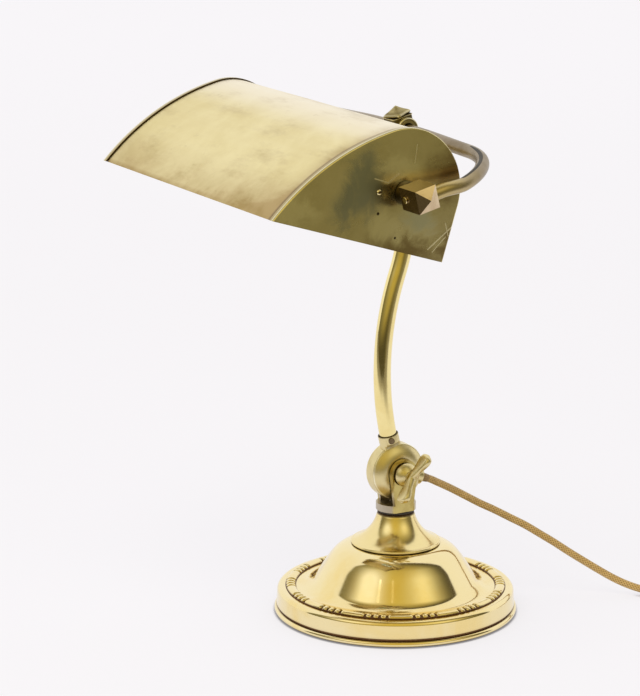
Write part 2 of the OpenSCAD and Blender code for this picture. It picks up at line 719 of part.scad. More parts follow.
module pyramid_nut() color(old_brass) at_nut() difference() {
  union() {
    translate([-nut_w / 2, -nut_w / 2, 0]) cube([nut_w, nut_w, nut_prism_h]);
    translate([0, 0, nut_prism_h]) pyramid(nut_w, pyramid_h);
  }
  translate([0, 0, -1]) cylinder(r = pin_r + fit_gap, h = nut_prism_h - pin_short + 1);
}

// Yoke: two bent tubes between the centre block and the end blocks
module centre_block() color(bronze) at_yoke() difference() {
  translate([-block_l / 2, -block_w / 2, -block_w / 2]) cube([block_l, block_w, block_h]);
  translate([0, 0, -block_h]) cylinder(r = pin_r + run_gap, h = 2 * block_h);
  for (s = [-1, 1]) translate([s * (block_l - socket_l), 0, 0]) along_x()
    cylinder(d = yoke_d + 2 * fit_gap, h = block_l, center = true);
  along_x() cylinder(d = flex_d, h = block_l, center = true);
}

module yoke_path(start, short) at_yoke() {
  run_l = leg_x - yoke_bend_r - start;
  leg_l = yoke_depth - end_block_w / 2 + leg_seat - yoke_bend_r - short;
  translate([start, 0, 0]) across_x() linear_extrude(run_l) children();
  translate([leg_x - yoke_bend_r, -yoke_bend_r, 0]) rotate_extrude(angle = 90)
    translate([yoke_bend_r, 0]) children();
  translate([leg_x, -yoke_bend_r, 0]) rotate([90, 0, 0]) linear_extrude(leg_l) children();
}

module yoke_tube_near() color(bronze) yoke_path(yoke_start, 0) tube_section(yoke_d, yoke_bore);

module yoke_tube_far() color(bronze) far_side() yoke_path(yoke_start, 0) tube_section(yoke_d, yoke_bore);

module yoke_flex() color(fibre) yoke_path(yoke_start, room) circle(d = flex_d);

module end_block() at_pivot() difference() {
  union() {
    translate([block_in, -end_block_w / 2, -end_block_w / 2]) cube([end_block_l, end_block_w, end_block_w]);
    translate([block_out, 0, 0]) along_x() pyramid(end_block_w, pyramid_h);
  }
  translate([block_in - 1, 0, 0]) along_x() cylinder(r = nipple_r + fit_gap, h = nipple_seat + 1);
  translate([leg_x, end_block_w / 2 - leg_seat, 0]) rotate([-90, 0, 0])
    cylinder(d = yoke_d + 2 * fit_gap, h = end_block_w);
  translate([leg_x, 0, 0]) rotate([-90, 0, 0]) cylinder(d = flex_d, h = end_block_w);
  translate([screw_x, 0, 0]) rotate([90, 0, 0]) cylinder(r = screw_r + fit_gap, h = end_block_w);
}

module end_block_near() color(bronze) end_block();

module end_block_far() color(bronze) far_side() end_block();

module block_screw() at_pivot() translate([screw_x, 0, 0]) rotate([90, 0, 0]) {
  translate([0, 0, nipple_r + fit_gap]) cylinder(r = screw_r, h = end_block_w / 2 - nipple_r);
  translate([0, 0, end_block_w / 2]) cylinder(r = screw_head_r, h = screw_head_h);
}

module block_screws() color(brass) {
  block_screw();
  far_side() block_screw();
}

module pivot_nipple() at_pivot() translate([nipple_in, 0, 0]) along_x()
  ring_disc(nipple_r, nipple_bore_r, block_in + nipple_seat - nipple_in);

module pivot_nipple_near() color(steel) pivot_nipple();

module pivot_nipple_far() color(steel) far_side() pivot_nipple();

module pivot_boss() at_pivot() translate([shade_l / 2 + slide_gap, 0, 0]) along_x()
  ring_disc(pivot_boss_r, nipple_r + fit_gap, boss_l - slide_gap);

module pivot_bosses() color(old_brass) {
  pivot_boss();
  far_side() pivot_boss();
}

module pivot_locknut() color(steel) at_pivot() translate([-holder_x, 0, 0]) along_x() difference() {
  cylinder(r = locknut_r, h = locknut_h, $fn = 6);
  translate([0, 0, -1]) cylinder(r = nipple_r + fit_gap, h = locknut_h + 2);
}

// Lampholder: turned about the pivot's axis, so each section is drawn as radius and distance along X
module about_pivot() at_pivot() across_x() rotate_extrude() children();

module switch_bore(gap) at_pivot() translate([switch_x, 0, 0]) rotate([90, 0, 0])
  cylinder(r = switch_r + gap, h = 2 * holder_d, center = true);

module holder_cap() color(brass) difference() {
  holder_cap_in = holder_cap_r - holder_cap_wall;
  about_pivot() polygon([
    [nipple_r + fit_gap, holder_x], [holder_neck.x, holder_x], [holder_shoulder.x, holder_x - holder_neck.y],
    [holder_cap_r, holder_x - holder_shoulder.y], [holder_cap_r, holder_x - holder_cap_l],
    [holder_cap_in, holder_x - holder_cap_l], [holder_cap_in, holder_x - holder_roof_t],
    [nipple_r + fit_gap, holder_x - holder_roof_t]
  ]);
  switch_bore(run_gap);
}

module holder_barrel() color(brass) at_pivot() translate([holder_mouth, 0, 0]) along_x()
  ring_disc(holder_d / 2, holder_d / 2 - holder_wall, holder_l);

module holder_ring() color(old_brass) at_pivot() translate([holder_mouth + holder_ring_at, 0, 0]) along_x()
  ring_disc(holder_d / 2 + holder_ring_w, holder_d / 2 + fit_gap, holder_ring_l);

module holder_insulator() color("#e9e4d6") at_pivot() translate([insulator_x, 0, 0]) along_x()
  cylinder(r = insulator_r, h = insulator_l);

module holder_plungers() color(steel) at_pivot() for (s = [-1, 1])
  translate([bulb_cap_x, 0, s * plunger_at]) along_x() cylinder(r = plunger_r, h = plunger_l);

module switch_bar() color(fibre) at_pivot() translate([switch_x, -switch_travel / 2, 0]) rotate([90, 0, 0]) {
  cylinder(r = switch_r, h = 2 * knob_at, center = true);
  for (s = [-1, 1]) translate([0, 0, s * (knob_at + knob_l / 2)])
    cylinder(r = knob_r, h = knob_l, center = true);
}

module bulb_cap() color(brass) at_pivot() {
  translate([bulb_x, 0, 0]) along_x() difference() {
    cylinder(d = bulb_cap_d, h = bulb_cap_l);
    translate([0, 0, -1]) cylinder(d = bulb_cap_d - 2 * bulb_cap_wall, h = bulb_cap_l - bulb_cap_roof + 1);
  }
  for (s = [-1, 1]) translate([bulb_cap_x - bulb_lug_at, s * bulb_cap_d / 2, 0]) rotate([90, 0, 0])
    cylinder(r = bulb_lug_r, h = bulb_lug_l, center = true);
}

function bulb_path(o) = concat(
  [[bulb_cap_d / 2 - o, bulb_x], [bulb_d / 2 - o, bulb_x - bulb_neck_l]],
  arc([0, bulb_x - bulb_l + bulb_d / 2], bulb_d / 2 - o, 0, -90, 8)
);

module bulb_glass() color("#f2efe6") about_pivot()
  polygon(concat(bulb_path(0), reversed(bulb_path(bulb_wall))));

// Shade: a rolled sheet between two flanged end caps
module shade_band(o0, o1, x0, x1) at_shade() translate([x0, 0, 0]) across_x() linear_extrude(x1 - x0)
  polygon(concat(shade_path(o1), reversed(shade_path(o0))));

module shade_sheet() color(brass) shade_band(-sheet_t, 0, -sheet_l / 2, sheet_l / 2);

module end_cap() {
  shade_band(flange_in, flange_out, shade_l / 2 - end_cap_flange, shade_l / 2 - end_cap_t / 2);
  at_shade() difference() {
    translate([plate_in, 0, 0]) across_x() linear_extrude(end_cap_t) polygon(shade_path(flange_out));
    translate([plate_in - 1, 0, 0]) along_x() cylinder(r = nipple_r + run_gap, h = end_cap_t + 2);
    translate([plate_in - 1, rivet_at.x, rivet_at.y]) along_x()
      cylinder(r = rivet_shank_r + fit_gap, h = end_cap_t + 2);
  }
}

module end_cap_near() color(old_brass) end_cap();

module end_cap_far() color(old_brass) far_side() end_cap();

module rivet() at_shade() translate([shade_l / 2, rivet_at.x, rivet_at.y]) along_x() {
  cylinder(r1 = rivet_r, r2 = rivet_top_r, h = rivet_h);
  translate([0, 0, -end_cap_t]) cylinder(r = rivet_shank_r, h = end_cap_t);
}

module cap_rivets() color(brass) {
  rivet();
  far_side() rivet();
}

// Cord, coil and plug
module cord() color(cord_brown)
  swept_tube(cord_points, cord_out, [heading_way.x, heading_way.y, 0], cord_d / 2, cord_sides);

module cord_coil() color(cord_brown)
  swept_tube(coil_points, [heading_way.x, heading_way.y, 0], end_way, cord_d / 2, coil_sides);

module cord_tail() color(cord_brown) translate(coil_end) rotate([0, 90, coil_end_heading])
  cylinder(d = cord_d, h = tail_l);

module at_tie() translate([coil_mid.x, coil_mid.y, 0]) rotate(tie_turn) translate([tie_in, -tie_w / 2, 0])
  children();

module cord_tie() color(fibre) at_tie() difference() {
  cube([tie_out - tie_in, tie_w, tie_h]);
  translate([tie_t, -1, tie_t]) cube([tie_out - tie_in - 2 * tie_t, tie_w + 2, tie_h - 2 * tie_t]);
}

module plug_outline() polygon([
  [0, -grip_w / 2], [grip_l, -grip_w / 2], [2 * grip_l, -plug_w / 2], [plug_l - plug_corner, -plug_w / 2],
  [plug_l, plug_corner - plug_w / 2], [plug_l, plug_w / 2 - plug_corner], [plug_l - plug_corner, plug_w / 2],
  [2 * grip_l, plug_w / 2], [grip_l, grip_w / 2], [0, grip_w / 2]
]);

module plug_pin_set(gap, h) {
  line_h = h - line_short;
  translate([earth_at, 0, h / 2]) cube([earth_pin.x + 2 * gap, earth_pin.y + 2 * gap, h], center = true);
  for (s = [-1, 1]) translate([earth_at - line_from_earth.x, s * line_from_earth.y, line_h / 2])
    cube([line_pin.x + 2 * gap, line_pin.y + 2 * gap, line_h], center = true);
}

module plug_cover() color("#1d1c1b") at_plug() translate([0, 0, -plug_entry_z])
  linear_extrude(plug_cover_h) plug_outline();

module plug_base() color("#1d1c1b") at_plug() difference() {
  translate([0, 0, plug_cover_h - plug_entry_z]) linear_extrude(plug_base_h) plug_outline();
  translate([0, 0, plug_pin_z]) plug_pin_set(fit_gap, pin_l);
}

module plug_pins() color(brass) at_plug() translate([0, 0, plug_pin_z]) plug_pin_set(0, pin_l);

base_shell();
base_border();
base_weight();
base_felt();
trumpet_cap();
neck_washer();
tie_rod();
tie_washer();
tie_nut();
fork();
hinge_bolt();
wing_washer();
wing_nut();
knuckle_body();
knuckle_cover();
friction_washers();
cord_bush();
collar_screw();
arm_tube();
arm_flex();
arm_spigot();
swivel_washer();
pyramid_nut();
centre_block();
yoke_tube_near();
yoke_tube_far();
yoke_flex();
end_block_near();
end_block_far();
block_screws();
pivot_nipple_near();
pivot_nipple_far();
pivot_bosses();
pivot_locknut();
holder_cap();
holder_barrel();
holder_ring();
holder_insulator();
holder_plungers();
switch_bar();
bulb_cap();
bulb_glass();
shade_sheet();
end_cap_near();
end_cap_far();
cap_rivets();
cord();
cord_coil();
cord_tail();
cord_tie();
plug_base();
plug_cover();
plug_pins();
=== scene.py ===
"""Desk lamp: half-round brass shade in a yoke, curved arm, clamped knuckle, round polished base."""
import json
import math

import bmesh
import bpy
from mathutils import Matrix, Vector, noise

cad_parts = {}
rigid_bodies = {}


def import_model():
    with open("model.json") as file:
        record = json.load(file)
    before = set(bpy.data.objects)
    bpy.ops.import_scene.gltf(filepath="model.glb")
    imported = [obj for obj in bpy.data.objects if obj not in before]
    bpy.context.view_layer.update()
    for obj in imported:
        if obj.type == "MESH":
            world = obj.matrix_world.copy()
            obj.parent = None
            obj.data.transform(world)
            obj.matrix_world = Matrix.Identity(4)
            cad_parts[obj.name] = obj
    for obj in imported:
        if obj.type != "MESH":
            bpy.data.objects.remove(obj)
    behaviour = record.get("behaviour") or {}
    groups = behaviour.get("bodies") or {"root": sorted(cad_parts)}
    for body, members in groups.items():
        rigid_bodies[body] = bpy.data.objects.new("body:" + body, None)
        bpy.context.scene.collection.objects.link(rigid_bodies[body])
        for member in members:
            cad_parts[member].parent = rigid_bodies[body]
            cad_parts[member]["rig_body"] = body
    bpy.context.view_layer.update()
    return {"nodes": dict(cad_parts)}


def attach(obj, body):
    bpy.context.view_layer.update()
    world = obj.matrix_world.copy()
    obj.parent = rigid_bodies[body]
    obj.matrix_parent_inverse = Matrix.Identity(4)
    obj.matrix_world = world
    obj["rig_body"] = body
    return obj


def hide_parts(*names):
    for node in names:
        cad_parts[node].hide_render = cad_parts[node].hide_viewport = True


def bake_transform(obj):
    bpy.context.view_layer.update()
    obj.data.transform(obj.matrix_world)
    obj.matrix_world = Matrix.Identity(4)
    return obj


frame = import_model()

MM = 0.001
IDENTITY = Matrix.Identity(4)


# Sizes in millimetres, with the names that the CAD model gives them
base_r, lip_h, lip_clear = 89.0, 4.2, 0.4
ledge_z, ledge_r, dome_top, dome_flat_r, shell_t = 18.8, 69.5, 51.5, 29.5, 1.4
shoulder_r, shoulder_turn, flank_r, cove_r = 22.0, 50.0, 60.0, 12.0
groove_h, groove_d, groove_ease, brow_r, skirt_r, tie_bore = 2.4, 1.2, 0.3, 3.4, 84.2, 5.1
border_in, border_out, border_t, border_r = 73.2, 80.6, 0.8, 76.9
border_groups, border_spin = 14, 10.4
bar_w, bar_h, short_bar_l, short_bar_pitch, short_bars_share = 6.2, 1.9, 3.6, 5.2, 3.3
cap_r, neck_r, cap_h, cap_wall, cap_top_t, bead_edge = 32.8, 13.4, 23.8, 1.6, 3.0, 1.1
flare_steep, flare_flat, neck_washer_t = 82.0, 20.0, 1.9
hinge_h, fork_half_w, bolt_r = 28.6, 12.6, 4.0
knuckle_r, knuckle_half_w, rim_near, rim_far, seam_x, boss_flat_r = 21.0, 7.9, 3.8, 7.6, 2.6, 11.1
collar_d, collar_foot, collar_top = 15.0, 16.0, 29.5
boss_drop, cord_boss_d, cord_boss_end, bush_l, bush_end = 20.0, 12.0, 21.6, 21.0, 28.5
wing_washer_t, wing_washer_r, wing_turn = 1.4, 8.2, 55.0
wing_hub_h, wing_cap_t, wing_reach, wing_rise, lobe_r = 9.5, 2.0, 20.0, 12.0, 4.8
arm_d, arm_lean, arm_low_r, arm_low_turn, arm_up_r, arm_foot = 12.7, 14.0, 218.0, 33.2, 165.0, 17.1
yoke_tilt, yoke_depth, yoke_d, yoke_bend_r = 14.0, 74.5, 9.5, 60.0
block_l, block_w, block_up, nut_spin, end_block_w, end_block_l = 23.0, 15.5, 10.25, 23.0, 16.0, 21.0
boss_l, socket_l, nipple_r, leg_inset = 7.0, 3.0, 5.0, 6.0
spigot_flange_t, swivel_washer_t, slide_gap = 2.0, 1.0, 0.1
shade_l, rear_r, front_r, front_start, rim_drop, shade_pitch = 254.0, 42.3, 177.0, 120.0, 39.2, 17.6
sheet_t, end_cap_t, end_cap_flange, fit_gap = 0.9, 1.0, 4.5, 0.05
cord_d, coil_turns, coil_in_r, coil_gap, coil_heading, tail_l = 5.5, 3.4, 22.5, 0.6, 48.8, 80.0
route = [
    (0, 36, 91.4), (0, 48, 84.8), (1.5, 60, 77.6), (3, 71, 71), (6, 82, 65), (10, 93, 58.5), (15, 104, 52),
    (20, 114, 45), (26, 123, 38.5), (32, 132, 31.5), (39, 141, 24.8), (46, 151, 17.6), (53, 159, 12.2),
    (60, 167, 8), (67, 175, 5.2), (75, 184, 4.1), (83, 193, 3.8), (91, 202, 3.75),
]
coil_start = Vector((98, 210, 3.75))

cap_top = dome_top + cap_h
fork_z = cap_top + neck_washer_t
hinge_z = fork_z + hinge_h
arm_start = (arm_foot + collar_top) / 2
arm_up_turn = yoke_tilt - arm_lean + arm_low_turn
leg_x = shade_l / 2 + boss_l + end_block_l - leg_inset


# Plane geometry, angles in degrees
def cosd(a):
    return math.cos(math.radians(a))


def sind(a):
    return math.sin(math.radians(a))


def arc(centre, r, a0, a1, n):
    angles = [a0 + (a1 - a0) * i / n for i in range(n + 1)]
    return [(centre[0] + r * cosd(a), centre[1] + r * sind(a)) for a in angles]


def turned(p, a):
    return (p[0] * cosd(a) - p[1] * sind(a), p[0] * sind(a) + p[1] * cosd(a))


def straight(p, q, n):
    return [(p[0] + (q[0] - p[0]) * i / n, p[1] + (q[1] - p[1]) * i / n) for i in range(1, n)]


def smoothstep(lo, hi, x):
    t = min(1.0, max(0.0, (x - lo) / (hi - lo)))
    return t * t * (3 - 2 * t)


def chords(points):
    """For each point, the step from the point before it to the point after it."""
    last = len(points) - 1
    return [points[min(i + 1, last)] - points[max(i - 1, 0)] for i in range(last + 1)]


def turn(axis, degrees):
    return Matrix.Rotation(math.radians(degrees), 4, axis)


def move(x, y, z):
    return Matrix.Translation((x, y, z))


# Frames that the pieces are drawn in
def bend_end(r, a):
    return (r * (1 - cosd(a)), r * sind(a))


low_end = (bend_end(arm_low_r, arm_low_turn)[0], arm_start + bend_end(arm_low_r, arm_low_turn)[1])
up_way = bend_end(arm_up_r, arm_up_turn)
up_step = turned((-up_way[0], up_way[1]), -arm_low_turn)
arm_top = turned((low_end[0] + up_step[0], low_end[1] + up_step[1]), arm_lean)
arm_top = (arm_top[0], arm_top[1] + hinge_z)
block_lift = spigot_flange_t + swivel_washer_t + slide_gap + block_w / 2
lift = turned((0, block_lift), yoke_tilt)
yoke_mid = (arm_top[0] + lift[0], arm_top[1] + lift[1])
reach = turned((-yoke_depth, 0), yoke_tilt)
pivot = (yoke_mid[0] + reach[0], yoke_mid[1] + reach[1])
along_x = turn("Y", 90)
SIDES = {"near": IDENTITY, "far": Matrix.Diagonal((-1, 1, 1, 1))}
at_hinge = move(0, 0, hinge_z)
at_arm = at_hinge @ turn("X", arm_lean)
at_cord_boss = at_hinge @ turn("X", -90 - boss_drop)
at_yoke = move(0, *yoke_mid) @ turn("X", yoke_tilt)
at_shade = move(0, *pivot) @ turn("X", -shade_pitch)
wing_seat = fork_half_w + wing_washer_t + slide_gap
at_wing = at_hinge @ turn("X", wing_turn) @ move(wing_seat, 0, 0) @ along_x @ turn("Z", 90)


# Camera, from the photograph's viewing angle
AZIMUTH, ELEVATION = 60.43, 13.92
EYE_BACK, EYE_LEFT, EYE_UP = 2.19857, 0.05539, 0.19177
view_right = Vector((cosd(AZIMUTH), sind(AZIMUTH), 0))
view_front = Vector((sind(AZIMUTH), -cosd(AZIMUTH), 0))
view_back = view_front * cosd(ELEVATION) + Vector((0, 0, 1)) * sind(ELEVATION)
view_up = view_back.cross(view_right)
camera = bpy.data.objects.new("camera", bpy.data.cameras.new("camera"))
camera.data.lens = 154.26
camera.data.sensor_width = 36
camera.data.clip_end = 50
eye = view_back * EYE_BACK - view_right * EYE_LEFT + view_up * EYE_UP
facing = Matrix((view_right, view_up, view_back)).transposed().to_4x4()
camera.matrix_world = Matrix.Translation(eye) @ facing
bpy.context.scene.collection.objects.link(camera)
bpy.context.scene.camera = camera
bpy.context.scene.view_settings.view_transform = "Standard"


# Meshes: lists of vertices, faces and a patina value for each vertex
class Shape:
    def __init__(self):
        self.verts, self.faces, self.patina, self.uv = [], [], [], []

    def add(self, verts, faces, place=IDENTITY, patina=None, uv=None):
        first = len(self.verts)
        self.verts += [place @ Vector(v) for v in verts]
        self.faces += [[first + i for i in f] for f in faces]
        self.patina += patina or [0.0] * len(verts)
        self.uv += uv or [(0.0, 0.0)] * len(verts)
        return self

    def lathe(self, profile, place=IDENTITY, steps=96):
        """A closed profile of (radius, height) or (radius, height, patina) points, turned about local Z."""
        verts, faces, patina, rows = [], [], [], []
        for point in profile:
            count = 1 if point[0] < 1e-6 else steps
            rows.append([len(verts) + k for k in range(count)])
            angles = [360 * k / steps for k in range(count)]
            verts += [(point[0] * cosd(a), point[0] * sind(a), point[1]) for a in angles]
            patina += [point[2] if len(point) > 2 else 0.0] * count
        for low, high in zip(rows, rows[1:] + rows[:1]):
            for k in range(steps):
                j = (k + 1) % steps
                quad = [low[k % len(low)], low[j % len(low)], high[j % len(high)], high[k % len(high)]]
                face = list(dict.fromkeys(quad))
                if len(face) > 2:
                    faces.append(face)
        return self.add(verts, faces, place, patina)

    def loft(self, rings, place=IDENTITY, patina=None, uv=None):
        """Closed rings with the same number of points, joined one to the next, with flat ends."""
        n = len(rings[0])
        verts = [p for ring in rings for p in ring]
        faces = []
        for i in range(len(rings) - 1):
            for k in range(n):
                j = (k + 1) % n
                faces.append([i * n + k, i * n + j, (i + 1) * n + j, (i + 1) * n + k])
        faces += [list(range(n))[::-1], [(len(rings) - 1) * n + k for k in range(n)]]
        return self.add(verts, faces, place, patina, uv)

    def tube(self, points, radius, place=IDENTITY, sides=32):
        """A round tube along points, with its frames carried along without twist."""
        points = [Vector(p) for p in points]
        ways = [step.normalized() for step in chords(points)]
        angles = [360 * k / sides for k in range(sides)]
        side = ways[0].orthogonal().normalized()
        rings, uv, run = [], [], 0.0
        for i, (p, way) in enumerate(zip(points, ways)):
            side = (side - way * side.dot(way)).normalized()
            other = way.cross(side)
            run += (p - points[i - 1]).length if i else 0.0
            rings.append([p + (side * cosd(a) + other * sind(a)) * radius for a in angles])
            uv += [(k / sides, run * MM) for k in range(sides)]
        return self.loft(rings, place, uv=uv)

    def piece(self, name, sharp=32):
        mesh = bpy.data.meshes.new(name)
        mesh.from_pydata([v * MM for v in self.verts], [], self.faces)
        mesh.attributes.new("patina", "FLOAT", "POINT").data.foreach_set("value", self.patina)
        layer = mesh.uv_layers.new(name="along")
        for loop in mesh.loops:
            layer.data[loop.index].uv = self.uv[loop.vertex_index]
        return shown(name, mesh, sharp)


def shown(name, mesh, sharp=32):
    """The mesh as an object of the scene, smooth apart from edges that turn by more than sharp degrees."""
    bm = bmesh.new()
    bm.from_mesh(mesh)
    bmesh.ops.recalc_face_normals(bm, faces=bm.faces)
    bm.to_mesh(mesh)
    bm.free()
    mesh.shade_smooth()
    mesh.set_sharp_from_angle(angle=math.radians(sharp))
    obj = bpy.data.objects.new(name, mesh)
    bpy.context.scene.collection.objects.link(obj)
    return obj


def finish_piece(obj, material, node):
    obj.data.materials.clear()
    obj.data.materials.append(material)
    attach(obj, frame["nodes"][node]["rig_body"])
    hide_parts(node)
    return obj


def from_solid(node, material, edge):
    """The CAD solid's own form with its edges rounded, for the pieces that are plain machined shapes."""
    bm = bmesh.new()
    bm.from_mesh(frame["nodes"][node].data)
    bmesh.ops.remove_doubles(bm, verts=bm.verts, dist=2e-6)
    bmesh.ops.dissolve_limit(bm, angle_limit=math.radians(0.6), verts=bm.verts, edges=bm.edges)
    mesh = bpy.data.meshes.new(node + "_look")
    bm.to_mesh(mesh)
    bm.free()
    if "custom_normal" in mesh.attributes:
        mesh.attributes.remove(mesh.attributes["custom_normal"])
    obj = shown(node + "_look", mesh)
    bevel = obj.modifiers.new("soft_edges", "BEVEL")
    bevel.width = edge * MM
    bevel.segments = 3
    bevel.limit_method = "ANGLE"
    bevel.angle_limit = math.radians(38)
    bevel.harden_normals = False
    return finish_piece(obj, material, node)


# Node trees
class Nodes:
    def __init__(self, tree):
        self.tree = tree
        tree.nodes.clear()

    def add(self, kind, inputs=None, **settings):
        node = self.tree.nodes.new(kind)
        for key, value in settings.items():
            setattr(node, key, value)
        for key, value in (inputs or {}).items():
            if isinstance(value, bpy.types.NodeSocket):
                self.tree.links.new(value, node.inputs[key])
            else:
                node.inputs[key].default_value = value
        return node

    def math(self, operation, a, b=0.0, clamp=False):
        return self.add("ShaderNodeMath", {0: a, 1: b}, operation=operation, use_clamp=clamp).outputs[0]

    def plus(self, a, b, clamp=False):
        return self.math("ADD", a, b, clamp)

    def minus(self, a, b):
        return self.math("SUBTRACT", a, b)

    def times(self, a, b, clamp=False):
        return self.math("MULTIPLY", a, b, clamp)

    def over(self, a, b):
        return self.math("DIVIDE", a, b)

    def most(self, a, b):
        return self.math("MAXIMUM", a, b)

    def mix(self, share, a, b):
        return self.add("ShaderNodeMix", {0: share, 6: rgba(a), 7: rgba(b)}, data_type="RGBA").outputs[2]

    def span(self, value, lo, hi, to_lo=0.0, to_hi=1.0):
        return self.add("ShaderNodeMapRange", {0: value, 1: lo, 2: hi, 3: to_lo, 4: to_hi},
                        interpolation_type="SMOOTHSTEP").outputs[0]

    def dot(self, vector, axis):
        node = self.add("ShaderNodeVectorMath", {0: vector, 1: tuple(axis)}, operation="DOT_PRODUCT")
        return node.outputs["Value"]

    def noise(self, vector, scale, detail=3.0, rough=0.5, warp=0.0):
        inputs = {"Vector": vector, "Scale": scale, "Detail": detail, "Roughness": rough, "Distortion": warp}
        return self.add("ShaderNodeTexNoise", inputs).outputs[0]

    def stretched(self, vector, scale):
        return self.add("ShaderNodeMapping", {"Vector": vector, "Scale": scale}).outputs[0]

    def patina(self):
        return self.add("ShaderNodeAttribute", attribute_name="patina").outputs["Fac"]

    def openness(self, distance, samples=12):
        return self.add("ShaderNodeAmbientOcclusion", {"Distance": distance}, samples=samples).outputs["AO"]

    def bump(self, height, strength, distance, normal=None):
        inputs = {"Height": height, "Strength": strength, "Distance": distance}
        if normal is not None:
            inputs["Normal"] = normal
        return self.add("ShaderNodeBump", inputs).outputs[0]

    def waves(self, coords, scale, strength, distance, normal=None):
        return self.bump(self.noise(coords, scale, 2.0, 0.5), strength, distance, normal)


def rgba(colour):
    if isinstance(colour, bpy.types.NodeSocket) or len(colour) == 4:
        return colour
    return (*colour, 1.0)


METAL = {"Metallic": 1.0}


def material(name, values):
    made = bpy.data.materials.new(name)
    made.use_nodes = True
    g = Nodes(made.node_tree)
    shader = g.add("ShaderNodeBsdfPrincipled", values)
    g.add("ShaderNodeOutputMaterial", {"Surface": shader.outputs[0]})
    coords = g.add("ShaderNodeTexCoord").outputs["Object"]
    return made, g, shader, coords


def link(g, shader, **sockets):
    names = {"colour": "Base Color", "rough": "Roughness", "normal": "Normal"}
    for key, value in sockets.items():
        g.tree.links.new(value, shader.inputs[names[key]])


def metal(name, colour, tarnish, grime_and_shade, rough, spread, cloud_scale, cloud_share, waver, reach=0.0025):
    """Metal with clouds of tarnish, dirt and painted shade in recesses, and patina; pale wear where patina is
    negative, which on the knuckle's rim is also a painted highlight.
    """
    made, g, shader, coords = material(name, METAL)
    cloud = g.noise(coords, cloud_scale, 5.0, 0.6, 0.4)
    fine = g.noise(coords, 700.0, 3.0, 0.55)
    patina = g.patina()
    # Occlusion darkens recesses and the seams between parts: painted shade, mixed with dirt and patina.
    recess = g.openness(reach)
    dark = g.most(g.span(recess, 0.72, 0.25), patina)
    dark = g.times(dark, g.span(fine, 0.1, 0.5, 0.75, 1.0), clamp=True)
    tinted = g.mix(g.times(g.span(cloud, 0.42, 0.72), cloud_share), colour, tarnish)
    tinted = g.mix(g.span(patina, 0.0, -1.0), tinted, (0.97, 0.90, 0.66))
    wiped = g.noise(g.stretched(coords, (60, 60, 900)), 1.0, 3.0, 0.6)
    base = g.span(cloud, 0.3, 0.75, rough, rough + spread)
    base = g.plus(base, g.span(wiped, 0.35, 0.7, 0.0, 0.5 * spread))
    link(g, shader, colour=g.mix(dark, tinted, grime_and_shade), rough=g.plus(base, g.times(dark, 0.3), clamp=True),
         normal=g.waves(coords, 45.0, waver, 0.002, g.bump(wiped, 0.015, 0.0003)))
    return made


def plain(name, colour, second, rough, scale, bump, sheen=0.0, coat=0.0):
    """A dull material with grain: iron, fibre, rubber, porcelain, moulded plastic."""
    made, g, shader, coords = material(name, {"Sheen Weight": sheen, "Coat Weight": coat})
    grain = g.noise(coords, scale, 4.0, 0.6)
    large = g.noise(coords, scale / 12, 3.0, 0.5)
    mixed = g.plus(g.times(grain, 0.5), g.times(large, 0.5))
    link(g, shader, colour=g.mix(g.span(mixed, 0.35, 0.65), colour, second),
         rough=g.span(grain, 0.3, 0.7, rough, rough + 0.1), normal=g.bump(grain, bump, 0.0004))
    return made


# Dark colours that recesses and patina fade to: dirt and painted shade.
GRIME_AND_SHADE = (0.045, 0.028, 0.010)
RED_GRIME_AND_SHADE = (0.150, 0.070, 0.028)
polished = metal("polished_brass", (0.90, 0.765, 0.43), (0.88, 0.68, 0.27), RED_GRIME_AND_SHADE,
                 0.065, 0.05, 20.0, 0.75, 0.012)
arm_brass = metal("arm_brass", (0.92, 0.78, 0.37), (0.84, 0.66, 0.25), RED_GRIME_AND_SHADE, 0.08, 0.06, 40.0, 0.5, 0.02)
knuckle_brass = metal("knuckle_brass", (0.77, 0.655, 0.35), (0.60, 0.49, 0.23), GRIME_AND_SHADE,
                      0.28, 0.10, 60.0, 0.7, 0.015)
trumpet_brass = metal("trumpet_brass", (0.88, 0.735, 0.37), (0.82, 0.62, 0.26), (0.060, 0.032, 0.014),
                      0.15, 0.06, 30.0, 0.5, 0.012)
dark_brass = metal("dark_brass", (0.50, 0.42, 0.20), (0.20, 0.15, 0.07), GRIME_AND_SHADE,
                   0.24, 0.14, 80.0, 0.7, 0.02, reach=0.0010)
black_brass = metal("black_brass", (0.075, 0.055, 0.035), (0.04, 0.03, 0.02), (0.012, 0.008, 0.005),
                    0.26, 0.14, 80.0, 0.7, 0.02)
umber_brass = metal("umber_brass", (0.26, 0.19, 0.11), (0.13, 0.09, 0.05), GRIME_AND_SHADE, 0.34, 0.14, 90.0, 0.7, 0.03)
steel = metal("steel", (0.55, 0.54, 0.51), (0.36, 0.33, 0.29), (0.03, 0.025, 0.02),
              0.30, 0.15, 90.0, 0.6, 0.05)
iron = plain("cast_iron", (0.045, 0.044, 0.042), (0.085, 0.080, 0.074), 0.62, 700.0, 0.35)
bush = plain("brown_bush", (0.34, 0.22, 0.10), (0.24, 0.15, 0.07), 0.45, 300.0, 0.08)
fibre = plain("dark_fibre", (0.030, 0.022, 0.016), (0.055, 0.042, 0.030), 0.48, 500.0, 0.12)
rubber = plain("flex_rubber", (0.030, 0.028, 0.026), (0.050, 0.046, 0.042), 0.55, 400.0, 0.10)
porcelain = plain("porcelain", (0.80, 0.77, 0.69), (0.72, 0.68, 0.58), 0.14, 160.0, 0.02, coat=0.6)
moulded = plain("plug_black", (0.012, 0.012, 0.012), (0.024, 0.023, 0.022), 0.30, 900.0, 0.05, coat=0.2)
felt = plain("green_felt", (0.020, 0.060, 0.032), (0.040, 0.100, 0.055), 0.90, 1400.0, 0.6, sheen=0.4)


def distance_along(g, coords, place, axis):
    """How far in metres a point lies from a frame's origin along one of the frame's axes."""
    way = place.to_3x3() @ Vector(axis)
    return g.minus(g.dot(coords, way), place.translation.dot(way) * MM)


